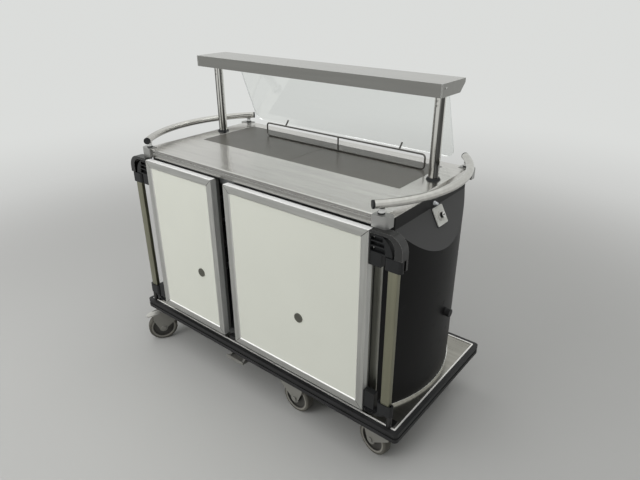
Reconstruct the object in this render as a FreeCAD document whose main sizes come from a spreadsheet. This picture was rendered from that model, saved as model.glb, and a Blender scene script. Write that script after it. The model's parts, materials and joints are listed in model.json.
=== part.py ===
import FreeCAD, Part
import math
import os
import Sketcher

# A mobile buffet trolley in millimetres: X runs along its length, the doors face -Y, Z is up.
# The floor is Z = 0 and the origin lies under the middle of the base.

SIZES = {
    # Base tray and bumper
    "base_length": 1262,
    "base_depth": 574,
    "base_corner": 4,
    "base_skirt": 42,
    "base_sheet": 3,
    "rim_width": 5,
    "rim_height": 2,
    "rim_gap": 1,
    "bumper_thick": 16,
    "bumper_corner": 14,
    "bumper_height": 36,
    "bumper_drop": 2,
    "bumper_groove": 4,
    "bumper_groove_height": 8,
    # Casters
    "wheel_diameter": 125,
    "wheel_width": 32,
    "tyre_clearance": 6.7,
    "tyre_shoulder": 7,
    "hub_radius": 49,
    "hub_rim": 5,
    "hub_boss": 18,
    "hub_web": 16,
    "hub_gap": 1,
    "axle_radius": 6,
    "axle_clearance": 0.06,
    "axle_head": 10,
    "axle_head_height": 5,
    "caster_trail": 48,
    "caster_inset_x": 59,
    "caster_inset_y": 49,
    "caster_mid_x": 139,
    "plate_length": 100,
    "plate_width": 84,
    "plate_thick": 4,
    "race_radius": 30,
    "race_height": 12,
    "swivel_gap": 0.3,
    "fork_thick": 4,
    "fork_gap": 3,
    "fork_back": 32,
    "fork_shoulder": 20,
    "fork_front": 38,
    "fork_neck": 44,
    "fork_eye": 18,
    "crown_front": 32,
    "crown_thick": 9,
    "brake_width": 32,
    "brake_overhang": 65,
    "brake_setback": 4,
    "brake_drop": 8,
    "brake_pin": 3,
    "brake_wall": 1,
    "front_left_turn": 240,
    "front_mid_turn": 357.5,
    "front_right_turn": 168.4,
    "rear_left_turn": 120,
    "rear_mid_turn": 30,
    "rear_right_turn": 160,
    # Chassis tubes and foot pedal
    "tube_width": 50,
    "tube_height": 38,
    "tube_wall": 3,
    "tube_setback": 27,
    "hanger_sheet": 6,
    "hanger_overhang": 5,
    "hanger_eye": 8,
    "pedal_x": -99,
    "pedal_width": 92,
    "pedal_axis_drop": 10,
    "pedal_reach": 58,
    "pedal_drop": 31,
    "pedal_tread": 34,
    "pedal_sheet": 4,
    "pedal_lip": 12,
    "pedal_arm": 10,
    "pedal_arm_inset": 5,
    "pedal_eye": 6,
    "pedal_pin": 4,
    "pedal_pin_clearance": 0.06,
    # Cabinet
    "cabinet_height": 668,
    "side_wall": 30,
    "floor_wall": 28,
    "back_wall": 15,
    "partition_middle": -109,
    "partition_thick": 54,
    "strip_thick": 3,
    "strip_width": 36,
    "strip_slot": 6,
    "slot_height": 16,
    "slot_pitch": 36,
    "slot_margin": 24,
    "upright_thick": 4,
    "upright_width": 24,
    "upright_slot": 8,
    "upright_front": 61,
    "upright_back": 66,
    "runner_reach": 25,
    "runner_rise": 18,
    "runner_sheet": 2,
    "runner_pitch": 110,
    "runner_first": 64,
    "runner_front": 26,
    "runner_back": 31,
    # End panels
    "panel_setback_x": 22,
    "panel_setback_y": 41,
    "panel_radius": 426,
    "panel_sheet": 4,
    "facet_wall": 40,
    "facet_run": 62,
    "facet_drop": 118,
    "profile_cover": 5,
    "profile_width": 31,
    "profile_reach": 36,
    "profile_gap": 4,
    "trim_height": 9,
    "trim_thick": 3,
    "trim_gap": 0.3,
    # Counter
    "counter_height": 34,
    "counter_overhang_x": 1,
    "counter_overhang_y": 27,
    "counter_slope": 12,
    "counter_flange": 14,
    "counter_lip": 2,
    "counter_core_setback": 24,
    "counter_sheet": 3,
    "fascia_step": 4,
    "fascia_height": 26,
    "hem_height": 9,
    "hem_gap": 4,
    "hotplate_side_margin": 78,
    "hotplate_back_margin": 52,
    "hotplate_depth": 280,
    "hotplate_thick": 6,
    "hotplate_joint": 0.5,
    "heater_thick": 8,
    "heater_margin": 6,
    "block_outward": 31,
    "block_inward": 20,
    "block_overhang": 7,
    "block_round": 14,
    "block_rise": 2,
    # Hand rails
    "rail_overhang": 5,
    "rail_tube": 12.5,
    "rail_rise": 31.7,
    "rail_overrun": 2.87,
    "rail_cap_angle": 0.8,
    "standoff_inset": 11,
    "standoff_radius": 7,
    "standoff_flare": 4,
    "standoff_collar": 2,
    # Wire guard
    "wire_radius": 3,
    "wire_middle": 65.5,
    "wire_length": 725,
    "wire_setback": 73,
    "wire_rise": 50,
    "wire_bend": 12,
    "peg_length": 24,
    "peg_offset": 262,
    "peg_lean": 40,
    # Posts, canopy and guard sheet
    "post_clear": 38,
    "post_y": 84,
    "post_radius": 16.8,
    "post_wall": 1.5,
    "post_screw": 3.5,
    "post_screw_head": 1.5,
    "post_screw_depth": 6.5,
    "flange_width": 7,
    "flange_flare": 4,
    "flange_height": 7,
    "flange_clearance": 0.3,
    "canopy_overhang": 39,
    "canopy_reach": 72,
    "canopy_depth": 148,
    "canopy_heel": 29,
    "canopy_clear": 269.5,
    "canopy_height": 40,
    "canopy_lip": 13,
    "canopy_sheet": 2,
    "canopy_cap": 3,
    "cap_screw": 4,
    "cap_screw_setback": 24,
    "cap_screw_drop": 16,
    "reflector_drop": 10.5,
    "lamp_radius": 6,
    "lamp_length": 380,
    "lamp_start": 30,
    "lamp_drop": 15,
    "lamp_holder": 22,
    "lamp_holder_half": 9,
    "guard_margin": 60,
    "guard_thick": 5,
    "guard_gap": 2.3,
    "guard_lower": 10.5,
    "guard_run": 105,
    "guard_drop": 276,
    "guard_round": 30,
    "bracket_width": 40,
    "bracket_pitch": 350,
    "bracket_heel": 12,
    "bracket_lower": 2,
    # Doors
    "door_gap": 5,
    "door_thick": 44,
    "frame_thick": 24,
    "door_foot_gap": 26,
    "door_head_gap": 4,
    "door_overlap": 12,
    "door_meeting": 4,
    "door_rail": 28,
    "door_bead": 3,
    "infill_recess": 3,
    "gasket_width": 12,
    "gasket_inset": 8,
    "gasket_gap": 0.3,
    "strike_inset": 266,
    "strike_rise": 242,
    "strike_radius": 17,
    "strike_thick": 2.5,
    # Hinge links
    "pivot_setback": 14,
    "pivot_reach": 62,
    "fold_gap": 18,
    "pin_radius": 5,
    "pin_length": 32,
    "pin_clearance": 0.06,
    "cap_radius": 11,
    "upper_cap_gap": 67,
    "upper_cap_height": 38,
    "lower_cap_gap": 21,
    "lower_cap_height": 40,
    "link_gap": 2,
    "bar_width": 32,
    "bar_depth": 16,
    "bar_round": 4,
    "housing_gap": 10,
    "housing_setback": 6,
    "housing_reach": 40,
    "housing_boss": 13,
    "housing_foot": 20,
    "housing_knee": 6,
    "housing_wall": 3,
    "housing_recess": 12,
    "housing_screw": 2.5,
    "housing_screw_inset": 7.5,
    "boss_radius": 12,
    "arm_thick": 10,
    "arm_inset": 11,
    "arch_round": 48,
    "arch_heel": 8,
    "leg_width": 16,
    "leg_thick": 9,
    "foot_thick": 10,
    "foot_margin": 4,
    "foot_depth": 30,
    # Switch, pilot lamp and stops
    "switch_y": 15,
    "switch_drop": 15.5,
    "switch_side": 60,
    "switch_round": 5,
    "switch_thick": 3,
    "switch_seal": 2,
    "switch_seal_rim": 2,
    "collar_width": 6,
    "collar_height": 4,
    "key_radius": 9,
    "key_height": 9,
    "key_gap": 0.3,
    "keyway_width": 3,
    "keyway_length": 11,
    "keyway_depth": 4,
    "pilot_y": 4,
    "pilot_rise": 12,
    "pilot_radius": 7,
    "pilot_height": 14,
    "holder_radius": 14,
    "holder_gap": 0.1,
    "holder_clearance": 0.7,
    "stop_width": 50,
    "stop_height": 20,
    "stop_gap": 6,
}

V = FreeCAD.Vector
doc = FreeCAD.newDocument("buffet_trolley")
sheet = doc.addObject("Spreadsheet::Sheet", "Sizes")
for row, (alias, number) in enumerate(SIZES.items(), start=1):
    sheet.set("A%d" % row, alias)
    sheet.set("B%d" % row, str(number))
    sheet.setAlias("B%d" % row, alias)
doc.recompute()


class Formula:
    """A size that carries its number and the sheet formula behind it."""

    def __init__(self, text, number):
        self.text = text
        self.number = number

    def __add__(self, other):
        other = formula(other)
        return Formula("(%s + %s)" % (self.text, other.text), self.number + other.number)

    def __sub__(self, other):
        other = formula(other)
        return Formula("(%s - %s)" % (self.text, other.text), self.number - other.number)

    def __mul__(self, other):
        other = formula(other)
        return Formula("(%s * %s)" % (self.text, other.text), self.number * other.number)

    def __truediv__(self, other):
        other = formula(other)
        return Formula("(%s / %s)" % (self.text, other.text), self.number / other.number)

    def __neg__(self):
        return Formula("(0 - %s)" % self.text, -self.number)

    def __radd__(self, other):
        return formula(other) + self

    def __rsub__(self, other):
        return formula(other) - self

    def __rmul__(self, other):
        return formula(other) * self

    def root(self):
        return Formula("sqrt(%s)" % self.text, math.sqrt(self.number))

    def arctangent(self):
        return Formula("(atan(%s) / (1 deg))" % self.text, math.degrees(math.atan(self.number)))


def formula(value):
    if isinstance(value, Formula):
        return value
    return Formula("(%r)" % float(value), float(value))


class Sheet:
    """The driving sizes, each read from the sheet by its name."""

    def __getattr__(self, alias):
        return Formula("Sizes.%s" % alias, float(sheet.get(alias)))


def side_of(long_side, short_side):
    """The third side of a right triangle."""
    return (long_side * long_side - short_side * short_side).root()


s = Sheet()

# Heights, worked out from the floor up
s.caster_height = (s.wheel_diameter + s.tyre_clearance + s.crown_thick + s.swivel_gap
                   + s.race_height + s.plate_thick)
s.chassis_top = s.caster_height + s.tube_height
s.base_plane = s.chassis_top + s.base_sheet
s.base_rim_top = s.base_plane + s.rim_height
s.cabinet_top = s.base_plane + s.cabinet_height
s.counter_top = s.cabinet_top + s.counter_height
s.panel_top = s.counter_top - s.counter_flange - s.counter_lip
s.facet_top_z = s.panel_top - s.facet_wall
s.facet_low_z = s.facet_top_z - s.facet_drop
s.rail_z = s.counter_top + s.rail_rise
s.canopy_low = s.counter_top + s.canopy_clear
s.canopy_top = s.canopy_low + s.canopy_height
s.door_low = s.base_plane + s.door_foot_gap
s.door_high = s.cabinet_top - s.door_head_gap
s.upper_cap_high = s.door_high - s.upper_cap_gap
s.upper_cap_low = s.upper_cap_high - s.upper_cap_height
s.lower_cap_low = s.door_low + s.lower_cap_gap
s.lower_cap_high = s.lower_cap_low + s.lower_cap_height

# Depths, worked out from the base towards the doors
s.base_half_y = s.base_depth / 2
s.caster_y = s.base_half_y - s.caster_inset_y
s.panel_half_depth = s.base_half_y - s.panel_setback_y
s.cabinet_back = s.panel_half_depth + s.profile_cover
s.cabinet_front = -s.cabinet_back
s.counter_half_depth = s.panel_half_depth + s.counter_overhang_y
s.standoff_y = s.counter_half_depth - s.standoff_inset
s.hotplate_back = s.counter_half_depth - s.hotplate_back_margin
s.hotplate_front = s.hotplate_back - s.hotplate_depth
s.door_back = s.cabinet_front - s.door_gap
s.door_front = s.door_back - s.door_thick
s.pivot_y = s.door_front + s.pivot_setback
s.canopy_front = s.post_y - s.canopy_reach
s.canopy_back = s.canopy_front + s.canopy_depth

# Lengths, worked out from the base end to the end panel, the cabinet, the doors and their hinges
s.base_half_x = s.base_length / 2
s.caster_x = s.base_half_x - s.caster_inset_x
s.panel_apex = s.base_half_x - s.panel_setback_x
s.panel_centre = s.panel_apex - s.panel_radius
s.rail_radius = s.panel_radius + s.rail_overhang
s.facet_top_x = s.panel_apex - s.facet_run
s.panel_edge = s.panel_centre + side_of(s.panel_radius, s.panel_half_depth)
s.panel_edge_inner = s.panel_centre + side_of(s.panel_radius - s.panel_sheet, s.panel_half_depth)
s.cabinet_half = s.panel_edge - s.profile_width
s.partition_left = s.partition_middle - s.partition_thick / 2
s.partition_right = s.partition_middle + s.partition_thick / 2
s.counter_half = s.facet_top_x + s.counter_overhang_x
s.counter_flat_half = s.counter_half - s.counter_slope
s.counter_core_half = s.counter_half - s.counter_core_setback
s.hotplate_half = s.counter_flat_half - s.hotplate_side_margin
s.post_x = s.hotplate_half + s.post_clear
s.canopy_half = s.post_x + s.canopy_overhang
s.standoff_x = s.panel_centre + side_of(s.rail_radius, s.standoff_y)
s.block_inner = s.standoff_x - s.block_inward
s.block_outer = s.standoff_x + s.block_outward
s.door_outer = s.cabinet_half + s.door_overlap
s.strike_x = s.door_outer - s.strike_inset
s.strike_z = s.door_low + s.strike_rise
s.door_pivot_x = s.door_outer + s.pivot_reach
s.fixed_pivot_x = (s.panel_apex + s.fold_gap + s.pivot_setback + s.door_pivot_x) / 2

AXIS_TURN = {
    "X": FreeCAD.Rotation(V(0, 1, 0), 90),
    "Y": FreeCAD.Rotation(V(1, 0, 0), -90),
    "Z": FreeCAD.Rotation(),
}
NODES = []
# How far a cutting shape runs past the face it cuts
PAST = 1


def bind(thing, prop, value):
    thing.setExpression(prop, formula(value).text)


def move(thing, x=0, y=0, z=0):
    bind(thing, "Placement.Base.x", x)
    bind(thing, "Placement.Base.y", y)
    bind(thing, "Placement.Base.z", z)
    return thing


def turn(thing, axis, angle):
    angle = formula(angle)
    thing.Placement = FreeCAD.Placement(thing.Placement.Base, FreeCAD.Rotation(axis, angle.number))
    bind(thing, "Placement.Rotation.Angle", angle)
    return thing


def box(x, y, z):
    """A block between two values on each axis."""
    thing = doc.addObject("Part::Box", "block")
    bind(thing, "Length", formula(x[1]) - x[0])
    bind(thing, "Width", formula(y[1]) - y[0])
    bind(thing, "Height", formula(z[1]) - z[0])
    return move(thing, x[0], y[0], z[0])


def rod(radius, length, x, y, z, axis="Z"):
    """A cylinder that starts at a point and runs along one axis."""
    thing = doc.addObject("Part::Cylinder", "rod")
    bind(thing, "Radius", radius)
    bind(thing, "Height", length)
    thing.Placement = FreeCAD.Placement(V(), AXIS_TURN[axis])
    return move(thing, x, y, z)


def ring_part(radius, tube, sweep, start, x, y, z):
    """A piece of a bent round bar that lies flat."""
    thing = doc.addObject("Part::Torus", "bend")
    bind(thing, "Radius1", radius)
    bind(thing, "Radius2", tube)
    bind(thing, "Angle3", sweep)
    turn(thing, V(0, 0, 1), start)
    return move(thing, x, y, z)


def fuse(*pieces):
    thing = doc.addObject("Part::MultiFuse", "fuse")
    thing.Shapes = list(pieces)
    thing.Refine = True
    return thing


def cut(base, *tools):
    thing = doc.addObject("Part::Cut", "cut")
    thing.Base = base
    thing.Tool = tools[0] if len(tools) == 1 else group(*tools)
    return thing


def common(*pieces):
    thing = doc.addObject("Part::MultiCommon", "common")
    thing.Shapes = list(pieces)
    return thing


def group(*pieces):
    thing = doc.addObject("Part::Compound", "group")
    thing.Links = list(pieces)
    return thing


def mirror(source, normal=V(1, 0, 0)):
    thing = doc.addObject("Part::Mirroring", "mirror")
    thing.Source = source
    thing.Normal = normal
    return thing


def node(label, thing):
    thing.Label = label
    NODES.append((label, thing))
    return thing


def draw(body, plane, corners):
    """A closed outline; a third value on a corner bends the edge after it, positive to the left."""
    origin = [part for part in body.Origin.OriginFeatures if part.Role == plane + "_Plane"][0]
    sketch = body.newObject("Sketcher::SketchObject", "outline")
    sketch.AttachmentSupport = [(origin, "")]
    sketch.MapMode = "FlatFace"
    count = len(corners)
    ends = []
    for index in range(count):
        here = corners[index]
        there = corners[(index + 1) % count]
        first = V(formula(here[0]).number, formula(here[1]).number, 0)
        last = V(formula(there[0]).number, formula(there[1]).number, 0)
        if len(here) == 2:
            sketch.addGeometry(Part.LineSegment(first, last), False)
            ends.append((1, 2))
            continue
        radius = formula(here[2]).number
        half = (last - first) * 0.5
        rise = math.sqrt(max(radius * radius - half.Length ** 2, 0))
        side = V(-half.y, half.x, 0).normalize() * math.copysign(rise, radius)
        centre = first + half + side
        begin, finish = (first, last) if radius > 0 else (last, first)
        angles = [math.atan2(point.y - centre.y, point.x - centre.x) for point in (begin, finish)]
        circle = Part.Circle(centre, V(0, 0, 1), abs(radius))
        sketch.addGeometry(Part.ArcOfCircle(circle, angles[0], angles[1]), False)
        ends.append((1, 2) if radius > 0 else (2, 1))
    for index in range(count):
        after = (index + 1) % count
        joined = Sketcher.Constraint("Coincident", index, ends[index][1], after, ends[after][0])
        sketch.addConstraint(joined)
    for index, corner in enumerate(corners):
        for kind, value in (("DistanceX", corner[0]), ("DistanceY", corner[1])):
            value = formula(value)
            place = Sketcher.Constraint(kind, -1, 1, index, ends[index][0], value.number)
            bind(sketch, "Constraints[%d]" % sketch.addConstraint(place), value)
        if len(corner) == 3:
            radius = formula(corner[2])
            radius = radius if radius.number > 0 else -radius
            bend = Sketcher.Constraint("Radius", index, radius.number)
            bind(sketch, "Constraints[%d]" % sketch.addConstraint(bend), radius)
    return sketch


def slab(plane, corners, start, depth):
    """An outline drawn on XY, XZ or YZ and pushed along the third axis from start."""
    body = doc.addObject("PartDesign::Body", "slab")
    sketch = draw(body, plane, corners)
    pad = body.newObject("PartDesign::Pad", "push")
    pad.Profile = sketch
    pad.Reversed = plane == "XZ"
    bind(pad, "Length", depth)
    body.Tip = pad
    place = {"XY": (0, 0, start), "XZ": (0, start, 0), "YZ": (start, 0, 0)}
    return move(body, *place[plane])


def spun(corners):
    """An outline of radius and length turned about the Y axis."""
    body = doc.addObject("PartDesign::Body", "spun")
    sketch = draw(body, "XY", corners)
    lathe = body.newObject("PartDesign::Revolution", "lathe")
    lathe.Profile = sketch
    lathe.ReferenceAxis = (sketch, ["V_Axis"])
    lathe.Angle = 360
    body.Tip = lathe
    return body


def rounded(half_x, half_y, radius):
    """A rectangle about the origin with round corners."""
    inner_x = half_x - radius
    inner_y = half_y - radius
    return [
        (-inner_x, -half_y),
        (inner_x, -half_y, radius),
        (half_x, -inner_y),
        (half_x, inner_y, radius),
        (inner_x, half_y),
        (-inner_x, half_y, radius),
        (-half_x, inner_y),
        (-half_x, -inner_y, radius),
    ]


# Base tray: a shallow pan with a raised rim and a skirt that is hollow underneath
base_low = s.base_rim_top - s.base_skirt


def base_slab(offset, corner, low, high):
    outline = rounded(s.base_half_x + offset, s.base_half_y + offset, corner)
    return slab("XY", outline, low, formula(high) - low)


tray_block = base_slab(formula(0), s.base_corner, base_low, s.base_rim_top)
tray_recess = base_slab(-s.rim_width, s.base_corner / 4, s.base_plane, s.base_rim_top + PAST)
tray_hollow = base_slab(-s.base_sheet, s.base_corner / 2, base_low - PAST, s.chassis_top)
node("base_tray", cut(tray_block, tray_recess, tray_hollow))

# Bumper: a rubber band with a groove around its middle
bumper_high = s.base_rim_top - s.bumper_drop
bumper_low = bumper_high - s.bumper_height
bumper_middle = (bumper_high + bumper_low) / 2
groove_low = bumper_middle - s.bumper_groove_height / 2
groove_high = bumper_middle + s.bumper_groove_height / 2
bumper_core = fuse(
    base_slab(s.bumper_thick, s.bumper_corner, bumper_low, groove_low),
    base_slab(s.bumper_thick - s.bumper_groove, s.bumper_corner - s.bumper_groove, groove_low, groove_high),
    base_slab(s.bumper_thick, s.bumper_corner, groove_high, bumper_high),
)
bumper_room = base_slab(formula(0), s.base_corner, bumper_low - PAST, bumper_high + PAST)
node("bumper", cut(bumper_core, bumper_room))

# Chassis: two long tubes, three cross tubes and the hanger of the foot pedal
tube_low = s.caster_height
tube_high = s.chassis_top
tube_end = s.base_half_x - s.tube_setback
rail_inner = s.caster_y - s.tube_width / 2
rail_outer = s.caster_y + s.tube_width / 2


def tube(x, y, z, along):
    """A square tube that is open at both ends."""
    inner = [(formula(pair[0]) + s.tube_wall, formula(pair[1]) - s.tube_wall) for pair in (x, y, z)]
    inner[along] = (x, y, z)[along]
    return cut(box(x, y, z), box(*inner))


long_front = tube((-tube_end, tube_end), (-rail_outer, -rail_inner), (tube_low, tube_high), 0)
cross_tubes = []
for middle in (-s.caster_x, s.caster_mid_x, s.caster_x):
    width = (middle - s.tube_width / 2, middle + s.tube_width / 2)
    cross_tubes.append(tube(width, (-rail_inner, rail_inner), (tube_low, tube_high), 1))
pedal_half = s.pedal_width / 2
pedal_y = -s.caster_y
pedal_z = tube_low - s.pedal_axis_drop
hanger_half = pedal_half + s.hanger_overhang
hanger_left = s.pedal_x - hanger_half
hanger_right = s.pedal_x + hanger_half
ear_y = (pedal_y - s.hanger_eye, pedal_y + s.hanger_eye)
ear_z = (pedal_z - s.hanger_eye, tube_low)
hanger = fuse(
    box((hanger_left, hanger_left + s.hanger_sheet), ear_y, ear_z),
    box((hanger_right - s.hanger_sheet, hanger_right), ear_y, ear_z),
    rod(s.pedal_pin, hanger_half * 2, hanger_left, pedal_y, pedal_z, "X"),
)
long_back = mirror(long_front, V(0, 1, 0))
node("chassis_frame", group(long_front, long_back, *cross_tubes, hanger))

# Foot pedal: a tread with a raised lip on two arms that swing on the hanger pin
tread_low = pedal_z - s.pedal_drop
tread_front = pedal_y - s.pedal_reach
tread_x = (s.pedal_x - pedal_half, s.pedal_x + pedal_half)
arm_outline = [
    (pedal_y + s.pedal_eye, pedal_z - s.pedal_eye),
    (pedal_y + s.pedal_eye / 2, pedal_z + s.pedal_eye),
    (pedal_y - s.pedal_eye, pedal_z + s.pedal_eye),
    (tread_front + s.pedal_sheet, tread_low + s.pedal_sheet),
    (tread_front + s.pedal_sheet, tread_low),
    (pedal_y - s.pedal_eye * 3, tread_low),
]
pedal_pieces = [
    box(tread_x, (tread_front, tread_front + s.pedal_tread), (tread_low, tread_low + s.pedal_sheet)),
    box(tread_x, (tread_front, tread_front + s.pedal_sheet), (tread_low, tread_low + s.pedal_lip)),
]
for edge in (tread_x[0] + s.pedal_arm_inset, tread_x[1] - s.pedal_arm_inset - s.pedal_arm):
    pedal_pieces.append(slab("YZ", arm_outline, edge, s.pedal_arm))
pedal_bore = rod(s.pedal_pin + s.pedal_pin_clearance, s.pedal_width, tread_x[0], pedal_y, pedal_z, "X")
node("foot_pedal", cut(fuse(*pedal_pieces), pedal_bore))

# Casters: each is built with its swivel on the Z axis and its wheel trailing towards +X
wheel_radius = s.wheel_diameter / 2
plate_low = s.caster_height - s.plate_thick
race_low = plate_low - s.race_height
crown_high = race_low - s.swivel_gap
crown_low = crown_high - s.crown_thick
leg_inner = s.wheel_width / 2 + s.fork_gap
leg_outer = leg_inner + s.fork_thick
plate_half_x = s.plate_length / 2
plate_half_y = s.plate_width / 2
caster_plate = fuse(
    box((-plate_half_x, plate_half_x), (-plate_half_y, plate_half_y), (plate_low, s.caster_height)),
    rod(s.race_radius, s.race_height, 0, 0, race_low),
)
brake_x = s.caster_trail - s.brake_setback
brake_z = crown_high - s.brake_drop
fork_front = s.caster_trail + s.fork_front
leg_outline = [
    (-s.fork_back, crown_low - s.fork_shoulder),
    (s.caster_trail - s.fork_eye, wheel_radius, s.fork_eye),
    (s.caster_trail, wheel_radius - s.fork_eye, s.fork_eye),
    (s.caster_trail + s.fork_eye, wheel_radius),
    (fork_front, wheel_radius + s.fork_neck),
    (fork_front, crown_low),
    (brake_x + s.brake_drop, crown_high),
    (-s.fork_back, crown_high),
]
fork_legs = [slab("XZ", leg_outline, side, s.fork_thick) for side in (-leg_outer, leg_inner)]
axle_half = leg_outer + s.axle_head_height
fork = fuse(
    box((-s.fork_back, s.crown_front), (-leg_outer, leg_outer), (crown_low, crown_high)),
    fork_legs[0],
    fork_legs[1],
    rod(s.axle_radius, axle_half * 2, s.caster_trail, -axle_half, wheel_radius, "Y"),
    rod(s.axle_head, s.axle_head_height, s.caster_trail, -axle_half, wheel_radius, "Y"),
    rod(s.axle_head, s.axle_head_height, s.caster_trail, leg_outer, wheel_radius, "Y"),
)
half_width = s.wheel_width / 2
bore = s.axle_radius + s.axle_clearance
boss_half = leg_inner - s.hub_gap
rim_half = half_width - s.hub_gap
web_half = s.hub_web / 2
rim_inner = s.hub_radius - s.hub_rim
hub = spun([
    (bore, -boss_half),
    (s.hub_boss, -boss_half),
    (s.hub_boss, -web_half),
    (rim_inner, -web_half),
    (rim_inner, -rim_half),
    (s.hub_radius, -rim_half),
    (s.hub_radius, rim_half),
    (rim_inner, rim_half),
    (rim_inner, web_half),
    (s.hub_boss, web_half),
    (s.hub_boss, boss_half),
    (bore, boss_half),
])
tyre = spun([
    (s.hub_radius, -half_width),
    (wheel_radius - s.tyre_shoulder, -half_width, s.tyre_shoulder),
    (wheel_radius, -half_width + s.tyre_shoulder),
    (wheel_radius, half_width - s.tyre_shoulder, s.tyre_shoulder),
    (wheel_radius - s.tyre_shoulder, half_width),
    (s.hub_radius, half_width),
])
wheel = move(group(hub, tyre), s.caster_trail, 0, wheel_radius)

CASTERS = [
    ("front_left", -s.caster_x, -s.caster_y, s.front_left_turn),
    ("front_mid", s.caster_mid_x, -s.caster_y, s.front_mid_turn),
    ("front_right", s.caster_x, -s.caster_y, s.front_right_turn),
    ("rear_left", -s.caster_x, s.caster_y, s.rear_left_turn),
    ("rear_mid", s.caster_mid_x, s.caster_y, s.rear_mid_turn),
    ("rear_right", s.caster_x, s.caster_y, s.rear_right_turn),
]


def at_caster(shape, x, y, angle):
    return move(turn(group(shape), V(0, 0, 1), angle), x, y, 0)


node("caster_plates", group(*[move(group(caster_plate), x, y, 0) for _, x, y, _ in CASTERS]))
brake_pin = rod(s.brake_pin, leg_outer * 2, brake_x, -leg_outer, brake_z, "Y")
braked_fork = fuse(fork, brake_pin)
for name, x, y, angle in CASTERS:
    node(name + "_fork", at_caster(braked_fork if name == "front_left" else fork, x, y, angle))
    node(name + "_wheel", at_caster(wheel, x, y, angle))

# Wheel brake: a round-nosed tread that swings on a pin between the fork legs and presses on the tyre
nose = s.brake_width / 2
brake_tip = s.caster_trail + s.brake_overhang
brake_eye = s.brake_pin * 2
brake_heel = brake_x - brake_eye
brake_under = brake_z - s.brake_pin - s.brake_wall
brake_over = brake_z + s.brake_pin + s.brake_wall * 2
brake_side = slab("XZ", [
    (brake_heel, brake_under),
    (brake_x + brake_eye, brake_under),
    (brake_tip, brake_z - s.brake_pin * 3),
    (brake_tip, brake_under),
    (brake_x + brake_eye, brake_over),
    (brake_heel, brake_over),
], -nose, s.brake_width)
brake_plan = slab("XY", [
    (brake_heel, -nose),
    (brake_tip - nose, -nose, nose),
    (brake_tip, 0, nose),
    (brake_tip - nose, nose),
    (brake_heel, nose),
], 0, s.caster_height)
brake_bore = rod(s.brake_pin + s.axle_clearance, s.brake_width, brake_x, -nose, brake_z, "Y")
brake_tread = cut(common(brake_side, brake_plan), brake_bore)
node("front_left_brake_pedal", at_caster(brake_tread, -s.caster_x, -s.caster_y, s.front_left_turn))

# Cabinet: an insulated box with one opening at the front, split by a partition
room_half = s.cabinet_half - s.side_wall
room_low = s.base_plane + s.floor_wall
room_high = s.cabinet_top - s.floor_wall
room_back = s.cabinet_back - s.back_wall
cabinet_z = (s.base_plane, s.cabinet_top)
cabinet_block = box((-s.cabinet_half, s.cabinet_half), (s.cabinet_front, s.cabinet_back), cabinet_z)
room = box((-room_half, room_half), (s.cabinet_front - PAST, room_back), (room_low, room_high))
node("cabinet_body", cut(cabinet_block, room))
partition_front = s.cabinet_front + s.strip_thick
partition_x = (s.partition_left, s.partition_right)
node("partition", box(partition_x, (partition_front, room_back), (room_low, room_high)))

# Slotted uprights: one strip on the front of the partition and a pair on every inner wall
slot_room = room_high - room_low - s.slot_margin * 2
slot_count = int(slot_room.number // s.slot_pitch.number) + 1
RUNNER_LEVELS = 5


def slots(x, y):
    lows = [room_low + s.slot_margin + s.slot_pitch * step for step in range(slot_count)]
    return group(*[box(x, y, (low, low + s.slot_height)) for low in lows])


strip_y = (s.cabinet_front, partition_front)
strip_x = (s.partition_middle - s.strip_width / 2, s.partition_middle + s.strip_width / 2)
slot_x = (s.partition_middle - s.strip_slot / 2, s.partition_middle + s.strip_slot / 2)
uprights = [cut(box(strip_x, strip_y, (room_low, room_high)), slots(slot_x, strip_y))]
WALLS = [(-room_half, 1), (s.partition_left, -1), (s.partition_right, 1), (room_half, -1)]
for wall, inward in WALLS:
    face = wall + s.upright_thick * inward
    span = (wall, face) if inward > 0 else (face, wall)
    for middle in (s.cabinet_front + s.upright_front, room_back - s.upright_back):
        upright_y = (middle - s.upright_width / 2, middle + s.upright_width / 2)
        slot_y = (middle - s.upright_slot / 2, middle + s.upright_slot / 2)
        uprights.append(cut(box(span, upright_y, (room_low, room_high)), slots(span, slot_y)))
node("rack_uprights", group(*uprights))

# Tray runners: angle strips hung on the uprights at an even pitch
runner_start = s.cabinet_front + s.runner_front
runner_length = room_back - s.runner_back - runner_start
runners = []
for wall, inward in WALLS:
    face = wall + s.upright_thick * inward
    flange = face + s.runner_sheet * inward
    tip = face + s.runner_reach * inward
    for level in range(RUNNER_LEVELS):
        low = room_low + s.runner_first + s.runner_pitch * level
        outline = [
            (face, low),
            (tip, low),
            (tip, low + s.runner_sheet),
            (flange, low + s.runner_sheet),
            (flange, low + s.runner_rise),
            (face, low + s.runner_rise),
        ]
        runners.append(slab("XZ", outline, runner_start, runner_length))
node("tray_runners", group(*runners))

# End panels: a curved sheet that leans inwards over a sloped facet below the counter
BEYOND = 30
facet_slope = s.facet_drop / s.facet_run
facet_tilt = facet_slope.arctangent()
facet_length = (facet_slope * facet_slope + 1).root()


def panel_solid(inset, low, high, half_depth):
    """The room inside the panel face, moved inwards by inset."""
    upper_x = s.facet_top_x - inset
    outer_x = s.panel_apex + BEYOND
    low_z = s.facet_low_z - inset * facet_length
    drum = rod(s.panel_radius - inset, formula(high) - low, s.panel_centre, 0, low)
    slice_box = box((s.cabinet_half, outer_x), (-half_depth, half_depth), (low, high))
    beyond = slab("XZ", [
        (upper_x, low_z + facet_slope * (s.panel_apex - upper_x)),
        (outer_x, low_z - facet_slope * BEYOND),
        (outer_x + BEYOND, low_z - facet_slope * BEYOND),
        (outer_x + BEYOND, formula(high) + BEYOND),
        (upper_x, formula(high) + BEYOND),
    ], -half_depth - BEYOND, half_depth * 2 + BEYOND * 2)
    return cut(common(drum, slice_box), beyond)


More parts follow.
